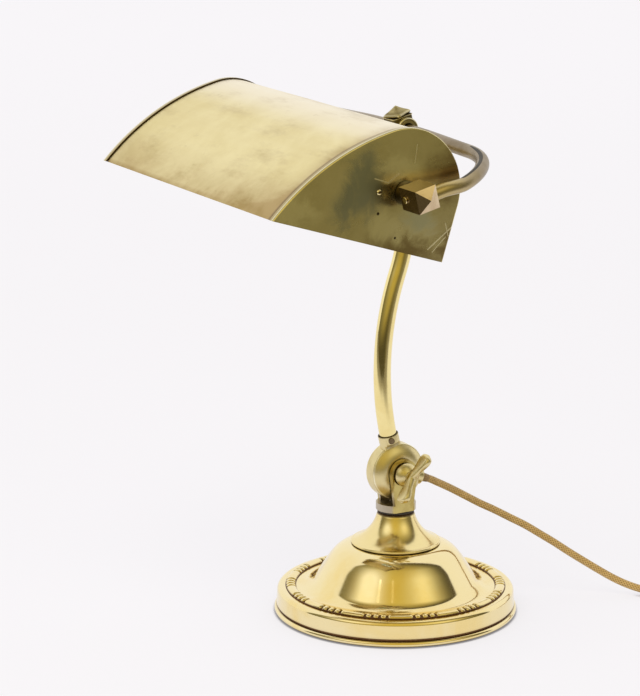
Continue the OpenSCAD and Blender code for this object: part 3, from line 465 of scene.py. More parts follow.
def sheet_material():
    """Aged satin sheet: pale along the crest as a painted highlight, cloudy patina, brown towards the edges.
    """
    made, g, shader, coords = material("aged_sheet", METAL)
    patina = g.patina()
    height = distance_along(g, coords, at_shade, (0, 0, 1))
    cloud = g.noise(coords, 15.0, 6.0, 0.62, 0.3)
    smudge = g.noise(g.stretched(coords, (16, 40, 40)), 1.0, 5.0, 0.65)
    spots = g.noise(coords, 120.0, 4.0, 0.65)
    rolled = g.noise(g.stretched(coords, (7, 260, 260)), 1.0, 4.0, 0.6)
    brown = g.times(patina, g.span(cloud, 0.25, 0.65, 0.55, 1.3))
    brown = g.plus(brown, g.span(smudge, 0.48, 0.78, 0.0, 0.45))
    brown = g.plus(brown, g.span(spots, 0.62, 0.80, 0.0, 0.25), clamp=True)
    pale = g.mix(g.span(cloud, 0.35, 0.65), (0.87, 0.765, 0.425), (0.79, 0.675, 0.34))
    # Paler towards the crest: a painted highlight along the top of the shade.
    pale = g.mix(g.span(height, 0.018, 0.041), pale, (0.93, 0.85, 0.675))
    aged = g.mix(g.span(g.noise(coords, 40.0, 3.0, 0.5), 0.4, 0.6), (0.41, 0.285, 0.095), (0.49, 0.355, 0.15))
    x = g.dot(coords, (1, 0, 0))
    edge = (shade_l / 2 - end_cap_flange) * MM
    near_line = g.span(x, edge - 0.0052, edge - 0.0026, 0.0, 0.75)
    line = g.most(near_line, g.span(x, -edge + 0.0010, -edge + 0.0003, 0.0, 0.85))
    rough = g.plus(g.span(cloud, 0.3, 0.7, 0.28, 0.36), g.span(rolled, 0.3, 0.7, 0.0, 0.05))
    link(g, shader, colour=g.mix(line, g.mix(brown, pale, aged), (0.20, 0.13, 0.06)), rough=rough,
         normal=g.waves(coords, 22.0, 0.03, 0.004, g.bump(rolled, 0.015, 0.0004)))
    return made


def plate_material():
    """End plates: olive brass with grey-green, worn and brown patches, dark dots and scratches, a painted
    reflection of the end block, and painted shade with patina in recesses.
    """
    made, g, shader, coords = material("plate_brass", METAL)
    y, z = (g.times(distance_along(g, coords, at_shade, axis), 1000) for axis in ((0, 1, 0), (0, 0, 1)))
    cloud = g.noise(coords, 38.0, 5.0, 0.6, 0.3)

    def drifting(value, scale):
        return g.plus(value, g.times(g.minus(g.noise(coords, scale, 5.0, 0.62, 0.6), 0.5), 46))

    def length(a, b):
        return g.math("SQRT", g.plus(g.times(a, a), g.times(b, b)))

    def spots(places, a, b, soft):
        total = 0.0
        for y0, z0, wide, high in places:
            far = length(g.over(g.minus(a, y0), wide), g.over(g.minus(b, z0), high))
            total = g.most(total, g.span(far, 1.0, soft))
        return total

    def strokes(places):
        total = 0.0
        for y0, z0, y1, z1, width in places:
            across = Vector((y1 - y0, z1 - z0))
            run = g.plus(g.times(g.minus(y, y0), across.x / across.length_squared),
                         g.times(g.minus(z, z0), across.y / across.length_squared), clamp=True)
            off = [g.minus(g.minus(v, start), g.times(run, step))
                   for v, start, step in ((y, y0, across.x), (z, z0, across.y))]
            total = g.most(total, g.span(length(*off), width, 0.3 * width))
        return total

    smoke = drifting(y, 33.0), drifting(z, 41.0)
    green = spots([(-33, -2, 22, 34), (-42, -17, 23, 20)], *smoke, 0.2)
    worn = spots([(-7, -24, 24, 18), (-9, 14, 21, 16), (-78, -30, 24, 13), (16, -20, 19, 14)], *smoke, 0.2)
    umber = spots([(30, 20, 24, 28), (10, -39, 48, 16), (42, -26, 9, 18)], *smoke, 0.1)
    bloom = spots([(16, -17, 15, 11)], *smoke, 0.2)
    dots = spots([(-16.4, -17.9, 1.5, 1.5), (1.4, -30.8, 1.2, 1.2)], y, z, 0.4)
    # Of these strokes the last two, from (-26, 4) to (-9, 11), are a painted reflection of the end block's
    # upper edge; the rest are scratches.
    scratches_and_reflection = strokes([(29, -33, 44, -13, 0.7), (33, -34, 40, -22, 0.5), (37, -13, 42, -21, 0.5),
                     (1, 20.5, -1, 33, 0.35), (-26, 4, -15, 3.6, 0.6), (-15, 3.6, -9, 11, 1.0)])
    patina = g.patina()
    # Occlusion darkens recesses and where parts meet: painted shade, mixed with patina and the dark dots.
    recess = g.openness(0.006)
    grime_and_shade = g.most(g.most(patina, g.span(recess, 0.7, 0.2)), dots)
    colour = g.mix(g.span(cloud, 0.35, 0.7), (0.80, 0.695, 0.36), (0.68, 0.585, 0.28))
    for share, strength, tint in ((worn, 0.9, (0.95, 0.85, 0.47)), (umber, 0.9, (0.36, 0.26, 0.11)),
                                  (green, 0.9, (0.35, 0.355, 0.25)), (bloom, 0.7, (0.70, 0.71, 0.53)),
                                  (scratches_and_reflection, 0.9, (0.96, 0.88, 0.60))):
        colour = g.mix(g.times(share, strength), colour, tint)
    x = g.math("ABSOLUTE", g.dot(coords, (1, 0, 0)))

    def depth(start, end):
        """0 to 1 between two distances in millimetres from the shade's end."""
        return g.span(x, (shade_l / 2 - start) * MM, (shade_l / 2 - end) * MM)

    strip = g.mix(depth(2.6, 1.9), (0.46, 0.37, 0.20), (0.74, 0.67, 0.42))
    strip = g.mix(depth(1.3, 0.8), strip, (0.50, 0.45, 0.27))
    colour = g.mix(depth(0.3, 0.7), colour, strip)
    rough = g.plus(g.span(cloud, 0.3, 0.7, 0.20, 0.28), g.times(green, 0.08))
    rough = g.plus(rough, g.times(g.most(scratches_and_reflection, grime_and_shade), 0.2), clamp=True)
    link(g, shader, colour=g.mix(grime_and_shade, colour, GRIME_AND_SHADE), rough=rough,
         normal=g.waves(coords, 30.0, 0.015, 0.003))
    return made


def fork_material():
    """The fork: worn gold on the outer cheeks, tarnished grey-brown in the slot and on the foot's front."""
    made, g, shader, coords = material("fork_brass", METAL)
    cloud = g.noise(coords, 90.0, 4.0, 0.6)
    aside = g.math("ABSOLUTE", g.dot(coords, (1, 0, 0)))
    outside = g.span(aside, (fork_half_w - 2.2) * MM, (fork_half_w - 0.6) * MM)
    low = g.span(g.dot(coords, (0, 0, 1)), (fork_z + 16) * MM, (fork_z + 4) * MM)
    tarnish = g.times(g.minus(1.0, outside), g.plus(g.times(low, 0.65), 0.3), clamp=True)
    gold = g.mix(g.span(cloud, 0.35, 0.7), (0.57, 0.46, 0.165), (0.46, 0.35, 0.115))
    link(g, shader, colour=g.mix(tarnish, gold, g.mix(cloud, (0.42, 0.365, 0.28), (0.60, 0.53, 0.42))),
         rough=g.plus(g.span(cloud, 0.3, 0.7, 0.18, 0.28), g.times(tarnish, 0.12)),
         normal=g.waves(coords, 60.0, 0.02, 0.001))
    return made


def yoke_material():
    """The yoke: brown-grey tarnish along the top, worn to gold towards the end blocks."""
    made, g, shader, coords = material("yoke_bronze", METAL)
    down = distance_along(g, coords, at_yoke, (0, -1, 0))
    cloud = g.noise(coords, 45.0, 4.0, 0.6)
    worn = g.times(g.span(down, 0.016, 0.055), g.span(cloud, 0.3, 0.6, 0.6, 1.0))
    grey = g.mix(g.span(cloud, 0.35, 0.7), (0.325, 0.265, 0.19), (0.255, 0.20, 0.13))
    gold = g.mix(cloud, (0.62, 0.50, 0.23), (0.50, 0.38, 0.15))
    link(g, shader, colour=g.mix(worn, grey, gold), rough=g.span(cloud, 0.3, 0.7, 0.30, 0.38),
         normal=g.waves(coords, 60.0, 0.01, 0.001))
    return made


def block_material():
    """The yoke's end blocks: coppery points, sides painted dark as painted shade."""
    made, g, shader, coords = material("block_bronze", METAL)
    facing = g.math("ABSOLUTE", g.dot(g.add("ShaderNodeTexCoord").outputs["Normal"], (1, 0, 0)))
    cloud = g.noise(coords, 70.0, 4.0, 0.6)
    # Faces whose normal does not point along the axis are darkened: painted shade on the block's sides.
    side = g.times(g.span(facing, 0.5, 0.1), g.span(cloud, 0.3, 0.7, 0.95, 0.8))
    copper = g.mix(g.span(cloud, 0.35, 0.7), (0.70, 0.55, 0.36), (0.56, 0.42, 0.25))
    colour = g.mix(side, copper, (0.23, 0.165, 0.09))
    link(g, shader, colour=colour, rough=g.span(cloud, 0.3, 0.7, 0.18, 0.26),
         normal=g.waves(coords, 60.0, 0.01, 0.001))
    return made


def cord_material():
    """Braided sleeve: two sets of threads that cross, in gold-brown cotton."""
    made, g, shader, coords = material("braided_cord", {"Sheen Weight": 0.25, "Roughness": 0.55})
    around = g.add("ShaderNodeSeparateXYZ", {0: g.add("ShaderNodeUVMap", uv_map="along").outputs[0]})
    threads_round, threads_per_metre = 8, 420
    u = g.times(around.outputs[0], 2 * math.pi * threads_round)
    v = g.times(around.outputs[1], 2 * math.pi * threads_per_metre)
    weave = g.most(g.math("SINE", g.plus(u, v)), g.math("SINE", g.minus(u, v)))
    thread = g.span(weave, -0.2, 0.9)
    tone = g.noise(coords, 60.0, 3.0, 0.6)
    light = g.mix(g.span(tone, 0.35, 0.65), (0.72, 0.50, 0.22), (0.60, 0.41, 0.17))
    link(g, shader, colour=g.mix(thread, (0.32, 0.20, 0.085), light), normal=g.bump(thread, 0.35, 0.0004))
    return made


def bulb_material():
    """Opal glass, a little uneven."""
    made, g, shader, coords = material("opal_glass", {"Coat Weight": 0.4, "Subsurface Weight": 0.3})
    cloud = g.noise(coords, 60.0, 3.0, 0.5)
    link(g, shader, colour=g.mix(g.span(cloud, 0.3, 0.7), (0.86, 0.85, 0.81), (0.80, 0.79, 0.74)),
         rough=g.span(cloud, 0.3, 0.7, 0.28, 0.36))
    return made


sheet_brass = sheet_material()
plate_brass = plate_material()
fork_brass = fork_material()
yoke_bronze = yoke_material()
block_bronze = block_material()
braid = cord_material()
opal = bulb_material()


# Cord: the free stretch on a smooth curve, then the coil and the tail to the plug
def through(points, first_way, last_way, per):
    """A smooth curve through points, with given end directions."""
    ways = [step * 0.5 for step in chords(points)]
    ways[0] = first_way * (points[1] - points[0]).length
    ways[-1] = last_way * (points[-1] - points[-2]).length
    curve = []
    for i in range(len(points) - 1):
        for k in range(per):
            t = k / per
            h = (2 * t**3 - 3 * t**2 + 1, t**3 - 2 * t**2 + t, 3 * t**2 - 2 * t**3, t**3 - t**2)
            curve.append(points[i] * h[0] + ways[i] * h[1] + points[i + 1] * h[2] + ways[i + 1] * h[3])
    return curve


turn_pitch = cord_d + coil_gap
coil_out_r = coil_in_r + coil_turns * turn_pitch
coil_total = 2 * coil_turns + 0.5
heading = Vector((cosd(coil_heading), sind(coil_heading), 0))
coil_mid = coil_start + heading * cord_d + Vector((-heading.y, heading.x, 0)) * coil_out_r
cord_out = Vector((0, cosd(boss_drop), -sind(boss_drop)))
cord_exit = Vector((0, 0, hinge_z)) + cord_out * bush_end


def coil_point(n):
    if n < coil_turns:
        r = coil_out_r - n * turn_pitch
    elif n < coil_turns + 0.5:
        r = coil_in_r - turn_pitch * ((n - coil_turns) - 2 * (n - coil_turns) ** 2)
    else:
        r = coil_in_r + (n - coil_turns - 0.5) * turn_pitch
    a = coil_heading - 90 + 360 * n
    return coil_mid + Vector((r * cosd(a), r * sind(a), turn_pitch * smoothstep(0, 0.5, n - coil_turns)))


coil_rings = round(coil_total * 40)
coil = [coil_point(coil_total * i / coil_rings) for i in range(coil_rings + 1)]
tail_way = Vector((cosd(coil_heading + 360 * coil_total), sind(coil_heading + 360 * coil_total), 0))
free = through([cord_exit] + [Vector(p) for p in route] + [coil_start], cord_out, heading, 8)
tail = [coil[-1] + tail_way * (cord_d + tail_l) * i / 12 for i in range(1, 13)]
cord_path = free + [coil_start] + coil + tail
cord = Shape().tube(cord_path, cord_d / 2, sides=18).piece("supply_cord")
cord.data.materials.append(braid)
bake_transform(cord)
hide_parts("cord", "cord_coil", "cord_tail")
tie = from_solid("cord_tie", fibre, 0.3)
plug = [from_solid("plug_cover", moulded, 1.6),
        from_solid("plug_base", moulded, 1.2),
        from_solid("plug_pins", polished, 0.5)]


# Base: spun shell, border and trumpet cap
def slope(a):
    return (sind(a), cosd(a))


shoulder_c = (dome_flat_r, dome_top - shoulder_r)
flank_c = tuple(shoulder_c[i] + (shoulder_r - flank_r) * slope(shoulder_turn)[i] for i in (0, 1))
cove_c = (ledge_r, ledge_z + cove_r)
cove_way = (cove_c[0] - flank_c[0], cove_c[1] - flank_c[1])
flank_turn = math.degrees(math.atan2(*cove_way) - math.acos((flank_r + cove_r) / math.hypot(*cove_way)))


def dome_path(o):
    flank = arc(flank_c, flank_r - o, 90 - shoulder_turn, 90 - flank_turn, 8)
    cove = arc(cove_c, cove_r + o, 270 - flank_turn, 270, 28)
    shoulder = arc(shoulder_c, shoulder_r - o, 90, 90 - shoulder_turn, 30)
    return shoulder + flank[1:] + straight(flank[-1], cove[0], 6) + cove


def base_shell():
    brow_inset, band_inset, band_drop, groove_share, lip_steps = 5.5, 1.6, 0.7, 0.7, 26
    lip_c, lip_top = (base_r - lip_h / 2, lip_clear + lip_h / 2), lip_clear + lip_h
    band_foot = (base_r - band_inset, lip_top + groove_h - band_drop)
    groove_in = band_foot[0] - groove_share * groove_d
    brow_c = (base_r - brow_inset, ledge_z - brow_r)
    grimy = [(0.45, 0.0), (0.2, 0.8), (0.0, 1.0)]
    ledge = [(border_in - gap, ledge_z, v) for gap, v in grimy]
    ledge += [(border_out + gap, ledge_z, v) for gap, v in grimy[::-1]]
    brow = arc(brow_c, brow_r, 90, 10, 16)
    band = straight(brow[-1], band_foot, 6) + [(band_foot[0], band_foot[1] + 0.5, 0.1)]
    fold = [(*band_foot, 0.8), (groove_in, band_foot[1] - groove_ease, 1.0),
            (groove_in, lip_top + groove_ease, 1.0)]
    lip = []
    # Patina darkens the underside of the rolled lip: tarnish and a painted contact shade along the floor.
    for i, point in enumerate(arc(lip_c, lip_h / 2, 75, -90, lip_steps)):
        run = i / lip_steps
        lip.append((*point, smoothstep(0.62, 0.8, run) + 0.5 * smoothstep(0.1, 0.0, run)))
    inside = [(skirt_r, lip_clear, 1.0), (brow_c[0], ledge_z - shell_t, 0.4)]
    profile = [(tie_bore, dome_top)] + dome_path(0) + ledge + brow + band + fold + lip + inside
    profile += [(*p, 0.4) for p in dome_path(shell_t)[::-1]] + [(tie_bore, dome_top - shell_t, 0.4)]
    return Shape().lathe(profile, steps=224).piece("base_shell_look")


def pillow(middle, length, n):
    """One rounded bar of the border, its ends drawn in, centred on an angle."""
    end_l, sunk, extra_w = 1.5, 0.25, 0.7
    rings, patina = [], []
    for i in range(n + 1):
        run = -length / 2 + length * i / n
        end = min(1.0, (length / 2 - abs(run)) / end_l)
        full = math.sqrt(max(0.0, 1 - (1 - end) ** 2))
        half_w = (bar_w + extra_w) / 2 * (0.78 + 0.22 * full)
        a = middle + math.degrees(run / border_r)
        ring = []
        for k in range(15):
            b = 180 * k / 14
            r = border_r + half_w * cosd(b)
            z = ledge_z + border_t - sunk + (sunk + bar_h * (0.35 + 0.65 * full)) * sind(b) ** 0.8
            ring.append((r * cosd(a), r * sind(a), z))
            patina.append(0.8 * smoothstep(0.35, 0.0, sind(b)) + 0.5 * smoothstep(0.45, 0.0, full))
        rings.append(ring)
    return rings, patina


def base_border():
    low, side_top, top = ledge_z - 0.02, ledge_z + 0.6, ledge_z + border_t
    strip = [(border_in, low), (border_in, side_top), (border_in + 0.3, top),
             (border_out - 0.3, top), (border_out, side_top), (border_out, low)]
    shape = Shape().lathe([(*point, 1.0) for point in strip], steps=224)
    group = 360 / border_groups
    pitch = math.degrees(short_bar_pitch / border_r)
    long_l = math.radians(group - short_bars_share * pitch) * border_r
    for g in range(border_groups):
        middle = border_spin + g * group
        bars = [(middle + group / 2, long_l, 30)]
        bars += [(middle + b * pitch, short_bar_l, 12) for b in (-1, 0, 1)]
        for angle, length, n in bars:
            rings, patina = pillow(angle, length, n)
            shape.loft(rings, patina=patina)
    return shape.piece("base_border_look", 50)


def trumpet_cap():
    flare_r = (cap_r - bead_edge - neck_r) / (sind(flare_steep) - sind(flare_flat))
    flare_c = (cap_r - bead_edge + flare_r * sind(flare_flat),
               dome_top + 2 * bead_edge + flare_r * cosd(flare_flat))
    flare = arc(flare_c, flare_r, 270 - flare_steep, 270 - flare_flat, 40)
    inner = [p for p in arc(flare_c, flare_r + cap_wall, 270 - flare_steep, 270 - flare_flat, 24)[::-1]
             if dome_top + cap_wall < p[1] < cap_top - cap_top_t]
    bead = arc((cap_r - bead_edge, dome_top + bead_edge), bead_edge, 90, -90, 16)
    # Patina darkens the bead's underside and the neck's top: tarnish and painted shade under the bead and
    # under the neck washer.
    bead = [(*p, smoothstep(0.6, 0.9, i / 16)) for i, p in enumerate(bead)]
    profile = [(tie_bore, cap_top, 0.6), (neck_r - 0.4, cap_top, 1.0), (neck_r, cap_top - 0.4, 1.0),
               (neck_r + 0.03, cap_top - 1.1, 0.9)]
    profile += [p for p in flare if p[1] < cap_top - 1.6]
    profile += bead + [(cap_r - bead_edge - cap_wall * 1.6, dome_top, 1.0)] + inner
    profile += [(neck_r - cap_wall, cap_top - cap_top_t), (tie_bore, cap_top - cap_top_t)]
    return Shape().lathe(profile, steps=160).piece("trumpet_cap_look")


finish_piece(base_shell(), polished, "base_shell")
finish_piece(base_border(), polished, "base_border")
finish_piece(trumpet_cap(), trumpet_brass, "trumpet_cap")


# Knuckle, drawn in the arm's frame, and the wing nut that clamps it
def knuckle_face(side, rim, n=14):
    """The rounded rim and the domed face of one side, from the rim inwards."""
    soft = 0.9
    face_r = knuckle_r - soft
    # The rim's rounding gets negative patina, which the metal paints pale: edge wear and a painted highlight
    # line.
    points = [(face_r + soft * cosd(a), side * (rim - soft + soft * sind(a)), -sind(2 * a))
              for a in range(0, 91, 15)]
    for i in range(1, n + 1):
        u = 1 - i / n
        x = knuckle_half_w - (knuckle_half_w - rim) * u * u
        points.append((boss_flat_r + (face_r - boss_flat_r) * u, side * x))
    return points


def knuckle_body():
    shape = Shape()
    disc = [(bolt_r, seam_x), (knuckle_r - 0.2, seam_x, 0.8), (knuckle_r, seam_x - 0.2)]
    shape.lathe(disc + knuckle_face(-1, rim_far) + [(bolt_r, -knuckle_half_w)], at_arm @ along_x, 128)
    r, bore, soft = collar_d / 2, arm_d / 2 + 0.02, 0.4
    collar = [(bore, collar_foot), (bore, collar_top - 0.3, 1.0), (arm_d / 2 + 0.4, collar_top - 0.05, 1.0),
              (r - soft, collar_top, 1.0)]
    collar += [(r - soft + soft * cosd(a), collar_top - soft + soft * sind(a), 0.6) for a in (60, 20)]
    collar += [(r, collar_top - 0.8)] + [(r, knuckle_r + up) for up in (2.4, 1.2, 0.2)] + [(r, collar_foot)]
    tucked = Shape().lathe(collar, steps=80)
    for v in tucked.verts:
        v.x = min(v.x, r - (r - rim_near + 0.3) * smoothstep(knuckle_r + 2.4, knuckle_r + 0.4, v.z))
    shape.add(tucked.verts, tucked.faces, at_arm, tucked.patina)
    r, bore, soft = cord_boss_d / 2, 4.3, 0.6
    boss = [(bore, collar_foot), (bore, cord_boss_end - 0.2, 1.0), (4.7, cord_boss_end, 0.8),
            (r - soft, cord_boss_end)]
    boss += [(r - soft + soft * cosd(a), cord_boss_end - soft + soft * sind(a)) for a in (75, 50, 25, 0)]
    shape.lathe(boss + [(r, collar_foot)], at_cord_boss, 64)
    return shape.piece("knuckle_body_look")


def knuckle_cover():
    disc = [(bolt_r, seam_x), (knuckle_r - 0.2, seam_x, 0.8), (knuckle_r, seam_x + 0.2)]
    disc += knuckle_face(1, rim_near) + [(bolt_r, knuckle_half_w)]
    return Shape().lathe(disc, at_arm @ along_x, 128).piece("knuckle_cover_look")


def wing_washer():
    bore, r, low, edge_t = bolt_r + 0.05, wing_washer_r, fork_half_w, 0.5
    profile = [(bore, low), (r - 0.2, low, 1.0), (r, low + 0.25, 0.6), (r - 0.1, low + edge_t)]
    for i in range(1, 9):
        rise = (wing_washer_t - edge_t) * math.sin(math.pi / 2 * i / 8)
        profile.append((r - 0.4 - 1.6 * (i / 8), low + edge_t + rise))
    profile.append((bore, fork_half_w + wing_washer_t))
    return Shape().lathe(profile, at_hinge @ along_x, 80).piece("wing_washer_look")


def wing_nut():
    """A closed hub with a flat blade across it, whose wings rise outwards to round lobes."""
    bore, hub_top, root_z = bolt_r + 0.05, wing_hub_h - 1, 7.6
    root_half, lobe_half, blade_half, waist, lean_l = 3.2, lobe_r + 0.9, 2.4, 0.4, 3.5
    hub = [(bore, 0), (8.5, 0, 0.8), (8.8, 0.3), (8.7, 0.9), (8.2, 1.9), (7.2, 3.1), (6.0, 4.2), (4.6, 5.2),
           (3.0, 6.0), (0, hub_top), (0, hub_top - wing_cap_t), (bore, hub_top - wing_cap_t)]
    shape = Shape().lathe(hub, at_wing, 64)
    root, lobe = Vector((0, root_z)), Vector((wing_reach - lobe_r, wing_rise))
    way = (lobe - root).normalized()
    across = Vector((-way.y, way.x))
    to_lobe = (lobe - root).length
    for side in (1, -1):
        rings = []
        for i in range(41):
            run = (to_lobe + lobe_r - 0.02) * (1 - (1 - i / 40) ** 1.4)
            into = smoothstep(0, to_lobe, run)
            half_w = root_half - waist * math.sin(math.pi * into) + (lobe_half - root_half) * into
            thick = blade_half - waist * math.sin(math.pi * into) + 0.2 * into
            if run > to_lobe:
                half_w = lobe_half / lobe_r * math.sqrt(max(0.03, lobe_r**2 - (run - to_lobe) ** 2))
                thick *= math.sqrt(max(0.05, 1 - smoothstep(0.55 * lobe_r, lobe_r, run - to_lobe)))
            middle = root + way * run
            lean = across * smoothstep(0, lean_l, run) + Vector((0, 1)) * (1 - smoothstep(0, lean_l, run))
            ring = []
            for k in range(24):
                c, d = cosd(15 * k), sind(15 * k)
                p = middle + lean * half_w * math.copysign(abs(d) ** 0.6, d)
                ring.append((side * p.x, side * thick * math.copysign(abs(c) ** 0.5, c), p.y))
            rings.append(ring)
        shape.loft(rings, at_wing)
    return shape.piece("wing_nut_look", 45)


def cord_bush():
    """The bush where the cord comes out: a slim taper that ends close to the cord's own size."""
    bush_start, thread_r, seat_r = bush_end - bush_l, 2.4, 4.2
    profile = [(0, bush_start), (thread_r, bush_start), (thread_r, collar_foot), (seat_r, collar_foot),
               (seat_r, cord_boss_end), (3.7, cord_boss_end), (3.6, cord_boss_end + 0.8),
               (3.25, cord_boss_end + 3), (2.95, bush_end - 0.3), (2.8, bush_end), (0, bush_end)]
    return Shape().lathe(profile, at_cord_boss, 48).piece("cord_bush_look")


finish_piece(knuckle_body(), knuckle_brass, "knuckle_body")
finish_piece(knuckle_cover(), knuckle_brass, "knuckle_cover")
finish_piece(wing_washer(), polished, "wing_washer")
finish_piece(wing_nut(), knuckle_brass, "wing_nut")
finish_piece(cord_bush(), bush, "cord_bush")


# Arm and yoke tubes
def arm_tube():
    foot = math.degrees(math.asin((arm_start - knuckle_r - 3) / arm_low_r))
    points = []
    for i in range(81):
        y, z = bend_end(arm_low_r, -foot + (arm_low_turn + foot) * i / 80)
        points.append((0, y, arm_start + z))
    for i in range(1, 81):
        y, z = bend_end(arm_up_r, arm_up_turn * i / 80)
        step = turned((-y, z), -arm_low_turn)
        points.append((0, low_end[0] + step[0], low_end[1] + step[1]))
    return Shape().tube(points, arm_d / 2, at_arm, 48).piece("arm_tube_look", 60)


def yoke_tube(end):
    """One half of the yoke, which sags a little between the block and its bend."""
    sag = 2.8
    leg_seat = end_block_w / 2 - nipple_r - 0.4
    foot = yoke_depth - end_block_w / 2 + leg_seat
    start = block_l / 2 - socket_l
    points = [(start + (leg_x - yoke_bend_r - start) * i / 20, 0) for i in range(20)]
    points += arc((leg_x - yoke_bend_r, -yoke_bend_r), yoke_bend_r, 90, 0, 48)
    points += [(leg_x, -yoke_bend_r - (foot - yoke_bend_r) * i / 10) for i in range(1, 11)]
    points = [(x, y, -sag * smoothstep(20, 110, x) * smoothstep(-60, -38, y)) for x, y in points]
    return Shape().tube(points, yoke_d / 2, SIDES[end] @ at_yoke, 40).piece("yoke_tube_look_" + end, 60)


def rounded_square(half, corner, z, n=6):
    ring = []
    for quarter in range(4):
        c = turned((half - corner, half - corner), 90 * quarter)
        ring += [(x, y, z) for x, y in arc(c, corner, 90 * quarter, 90 * quarter + 90, n)]
    return ring


def centre_block():
    """The block on the swivel pin: a square pillar with a round sleeve across it for the two tubes."""
    r, half, sleeve_z = 8.5, block_l / 2, 0.9
    sleeve = [(yoke_d / 2 + 0.1, half - 0.2, 0.3), (r - 2.2, half - 0.1), (r - 1.3, half - 0.35, 0.7),
              (r - 1.0, half, -0.6), (r - 0.5, half, -1.0), (r, half - 0.5, -0.6), (r, half - 1.2)]
    sleeve += [(q[0], -q[1], *q[2:]) for q in sleeve[::-1]]
    shape = Shape().lathe(sleeve, at_yoke @ move(0, 0, sleeve_z) @ along_x, 72)
    w = block_w / 2
    levels = [(w - 0.6, -w, 0.6), (w, 0.6 - w, 0.0), (w, block_up - 1.0, 0.7),
              (w + 0.35, block_up - 0.6, -0.8), (w + 0.35, block_up - 0.2, -0.5), (w, block_up, 1.0)]
    rings = [rounded_square(h, 1.4, z) for h, z, v in levels]
    shape.loft(rings, at_yoke, [v for h, z, v in levels for i in rings[0]])
    return shape.piece("centre_block_look", 40)


def pyramid_nut():
    """The nut on top: a square with its corners and its point rubbed round."""
    w = block_w / 2 - 0.35
    levels = [(w - 0.8, 0.0, 1.0), (w, 0.5, 1.0), (w + 0.1, 1.2, -0.3), (w - 0.3, 1.9, -0.5),
              (w - 1.6, 2.8, 0.3), (w - 3.2, 3.9, 0.0), (w - 4.8, 5.2, 0.0),
              (w - 6.1, 6.3, 0.0), (w - 6.9, 6.9, -0.4), (0.15, 7.1, -0.4)]
    rings = [rounded_square(h, min(1.9, 0.8 * h), z) for h, z, v in levels]
    place = at_yoke @ move(0, 0, block_up) @ turn("Z", nut_spin)
    patina = [v for h, z, v in levels for i in rings[0]]
    return Shape().loft(rings, place, patina).piece("pyramid_nut_look", 30)


finish_piece(centre_block(), dark_brass, "centre_block")
finish_piece(pyramid_nut(), dark_brass, "pyramid_nut")
finish_piece(arm_tube(), arm_brass, "arm_tube")
for end in SIDES:
    finish_piece(yoke_tube(end), yoke_bronze, "yoke_tube_" + end)


# Shade: rolled sheet and flanged end plates
front_c = ((rear_r - front_r) * cosd(front_start), (rear_r - front_r) * sind(front_start))


def shade_path(o):
    end = 180 - math.degrees(math.asin((-rim_drop - front_c[1]) / (front_r + o)))
    rear = arc((0, 0), rear_r + o, 0, front_start, 72)
    front = arc(front_c, front_r + o, front_start, end, 56)
    foot = (rear_r + o, -rim_drop)
    return [foot] + straight(foot, rear[0], 12) + rear + front[1:]


def shade_sheet():
    outer, inner = shade_path(0), shade_path(-sheet_t)
    half = shade_l / 2 - end_cap_t - fit_gap
    last, rear_share, wave_h = len(outer) - 1, 0.62, 0.16
    rings, patina = [], []
    for i in range(73):
        x = -half + 2 * half * i / 72
        calm = smoothstep(0, 14, half - abs(x))
        ring = []
        for path, thick in ((outer, 0), (inner[::-1], 1)):
            for k, p in enumerate(path):
                s = (k if not thick else last - k) / last
                wave = wave_h * calm * noise.noise((x * 0.018, p[0] * 0.03, p[1] * 0.03 + 7))
                centre = (0, 0) if s < rear_share else front_c
                away = (Vector(p) - Vector(centre)).normalized()
                ring.append((x, p[0] + away.x * wave, p[1] + away.y * wave))
                near_end = smoothstep(half - 24, half, x) * 0.5
                low = smoothstep(0.84, 1.0, s) * (0.45 + 0.65 * smoothstep(-40, 110, x))
                edge = smoothstep(0.988, 1.0, s) * 0.8 + smoothstep(half - 1.5, half, abs(x)) * 0.5
                patina.append(min(1.0, near_end + low + edge) if not thick else 0.35)
        rings.append(ring)
    return Shape().loft(rings, at_shade, patina=patina).piece("shade_sheet_look")


def end_cap(end):
    soft, x1, bottom, top = 1.1, shade_l / 2, fit_gap, fit_gap + end_cap_t
    flange_x = x1 - end_cap_flange
    section = [(x1 - end_cap_t, bottom), (flange_x, bottom), (flange_x, top - 0.2), (flange_x + 0.2, top)]
    section += [(x1 - soft + soft * sind(a), top - soft + soft * cosd(a)) for a in range(0, 91, 15)]
    lines = [[(x, *p) for p in shade_path(o)] for x, o in section]
    count, n = len(section), len(lines[0])
    verts = [lines[j][i] for i in range(n) for j in range(count)]
    faces = []
    for i in range(n - 1):
        here, there = i * count, (i + 1) * count
        faces += [[here + j, here + j + 1, there + j + 1, there + j] for j in range(count - 1)]
    faces.append([i * count + count - 1 for i in range(n)])
    faces.append([i * count for i in range(n)][::-1])
    faces.append(list(range(count))[::-1] + [(n - 1) * count + j for j in range(count)])
    patina = [0.9 if j in (1, 2) else 0.0 for i in range(n) for j in range(count)]
    return Shape().add(verts, faces, SIDES[end] @ at_shade, patina).piece("end_cap_look_" + end)


finish_piece(shade_sheet(), sheet_brass, "shade_sheet")
for end in SIDES:
    finish_piece(end_cap(end), plate_brass, "end_cap_" + end)


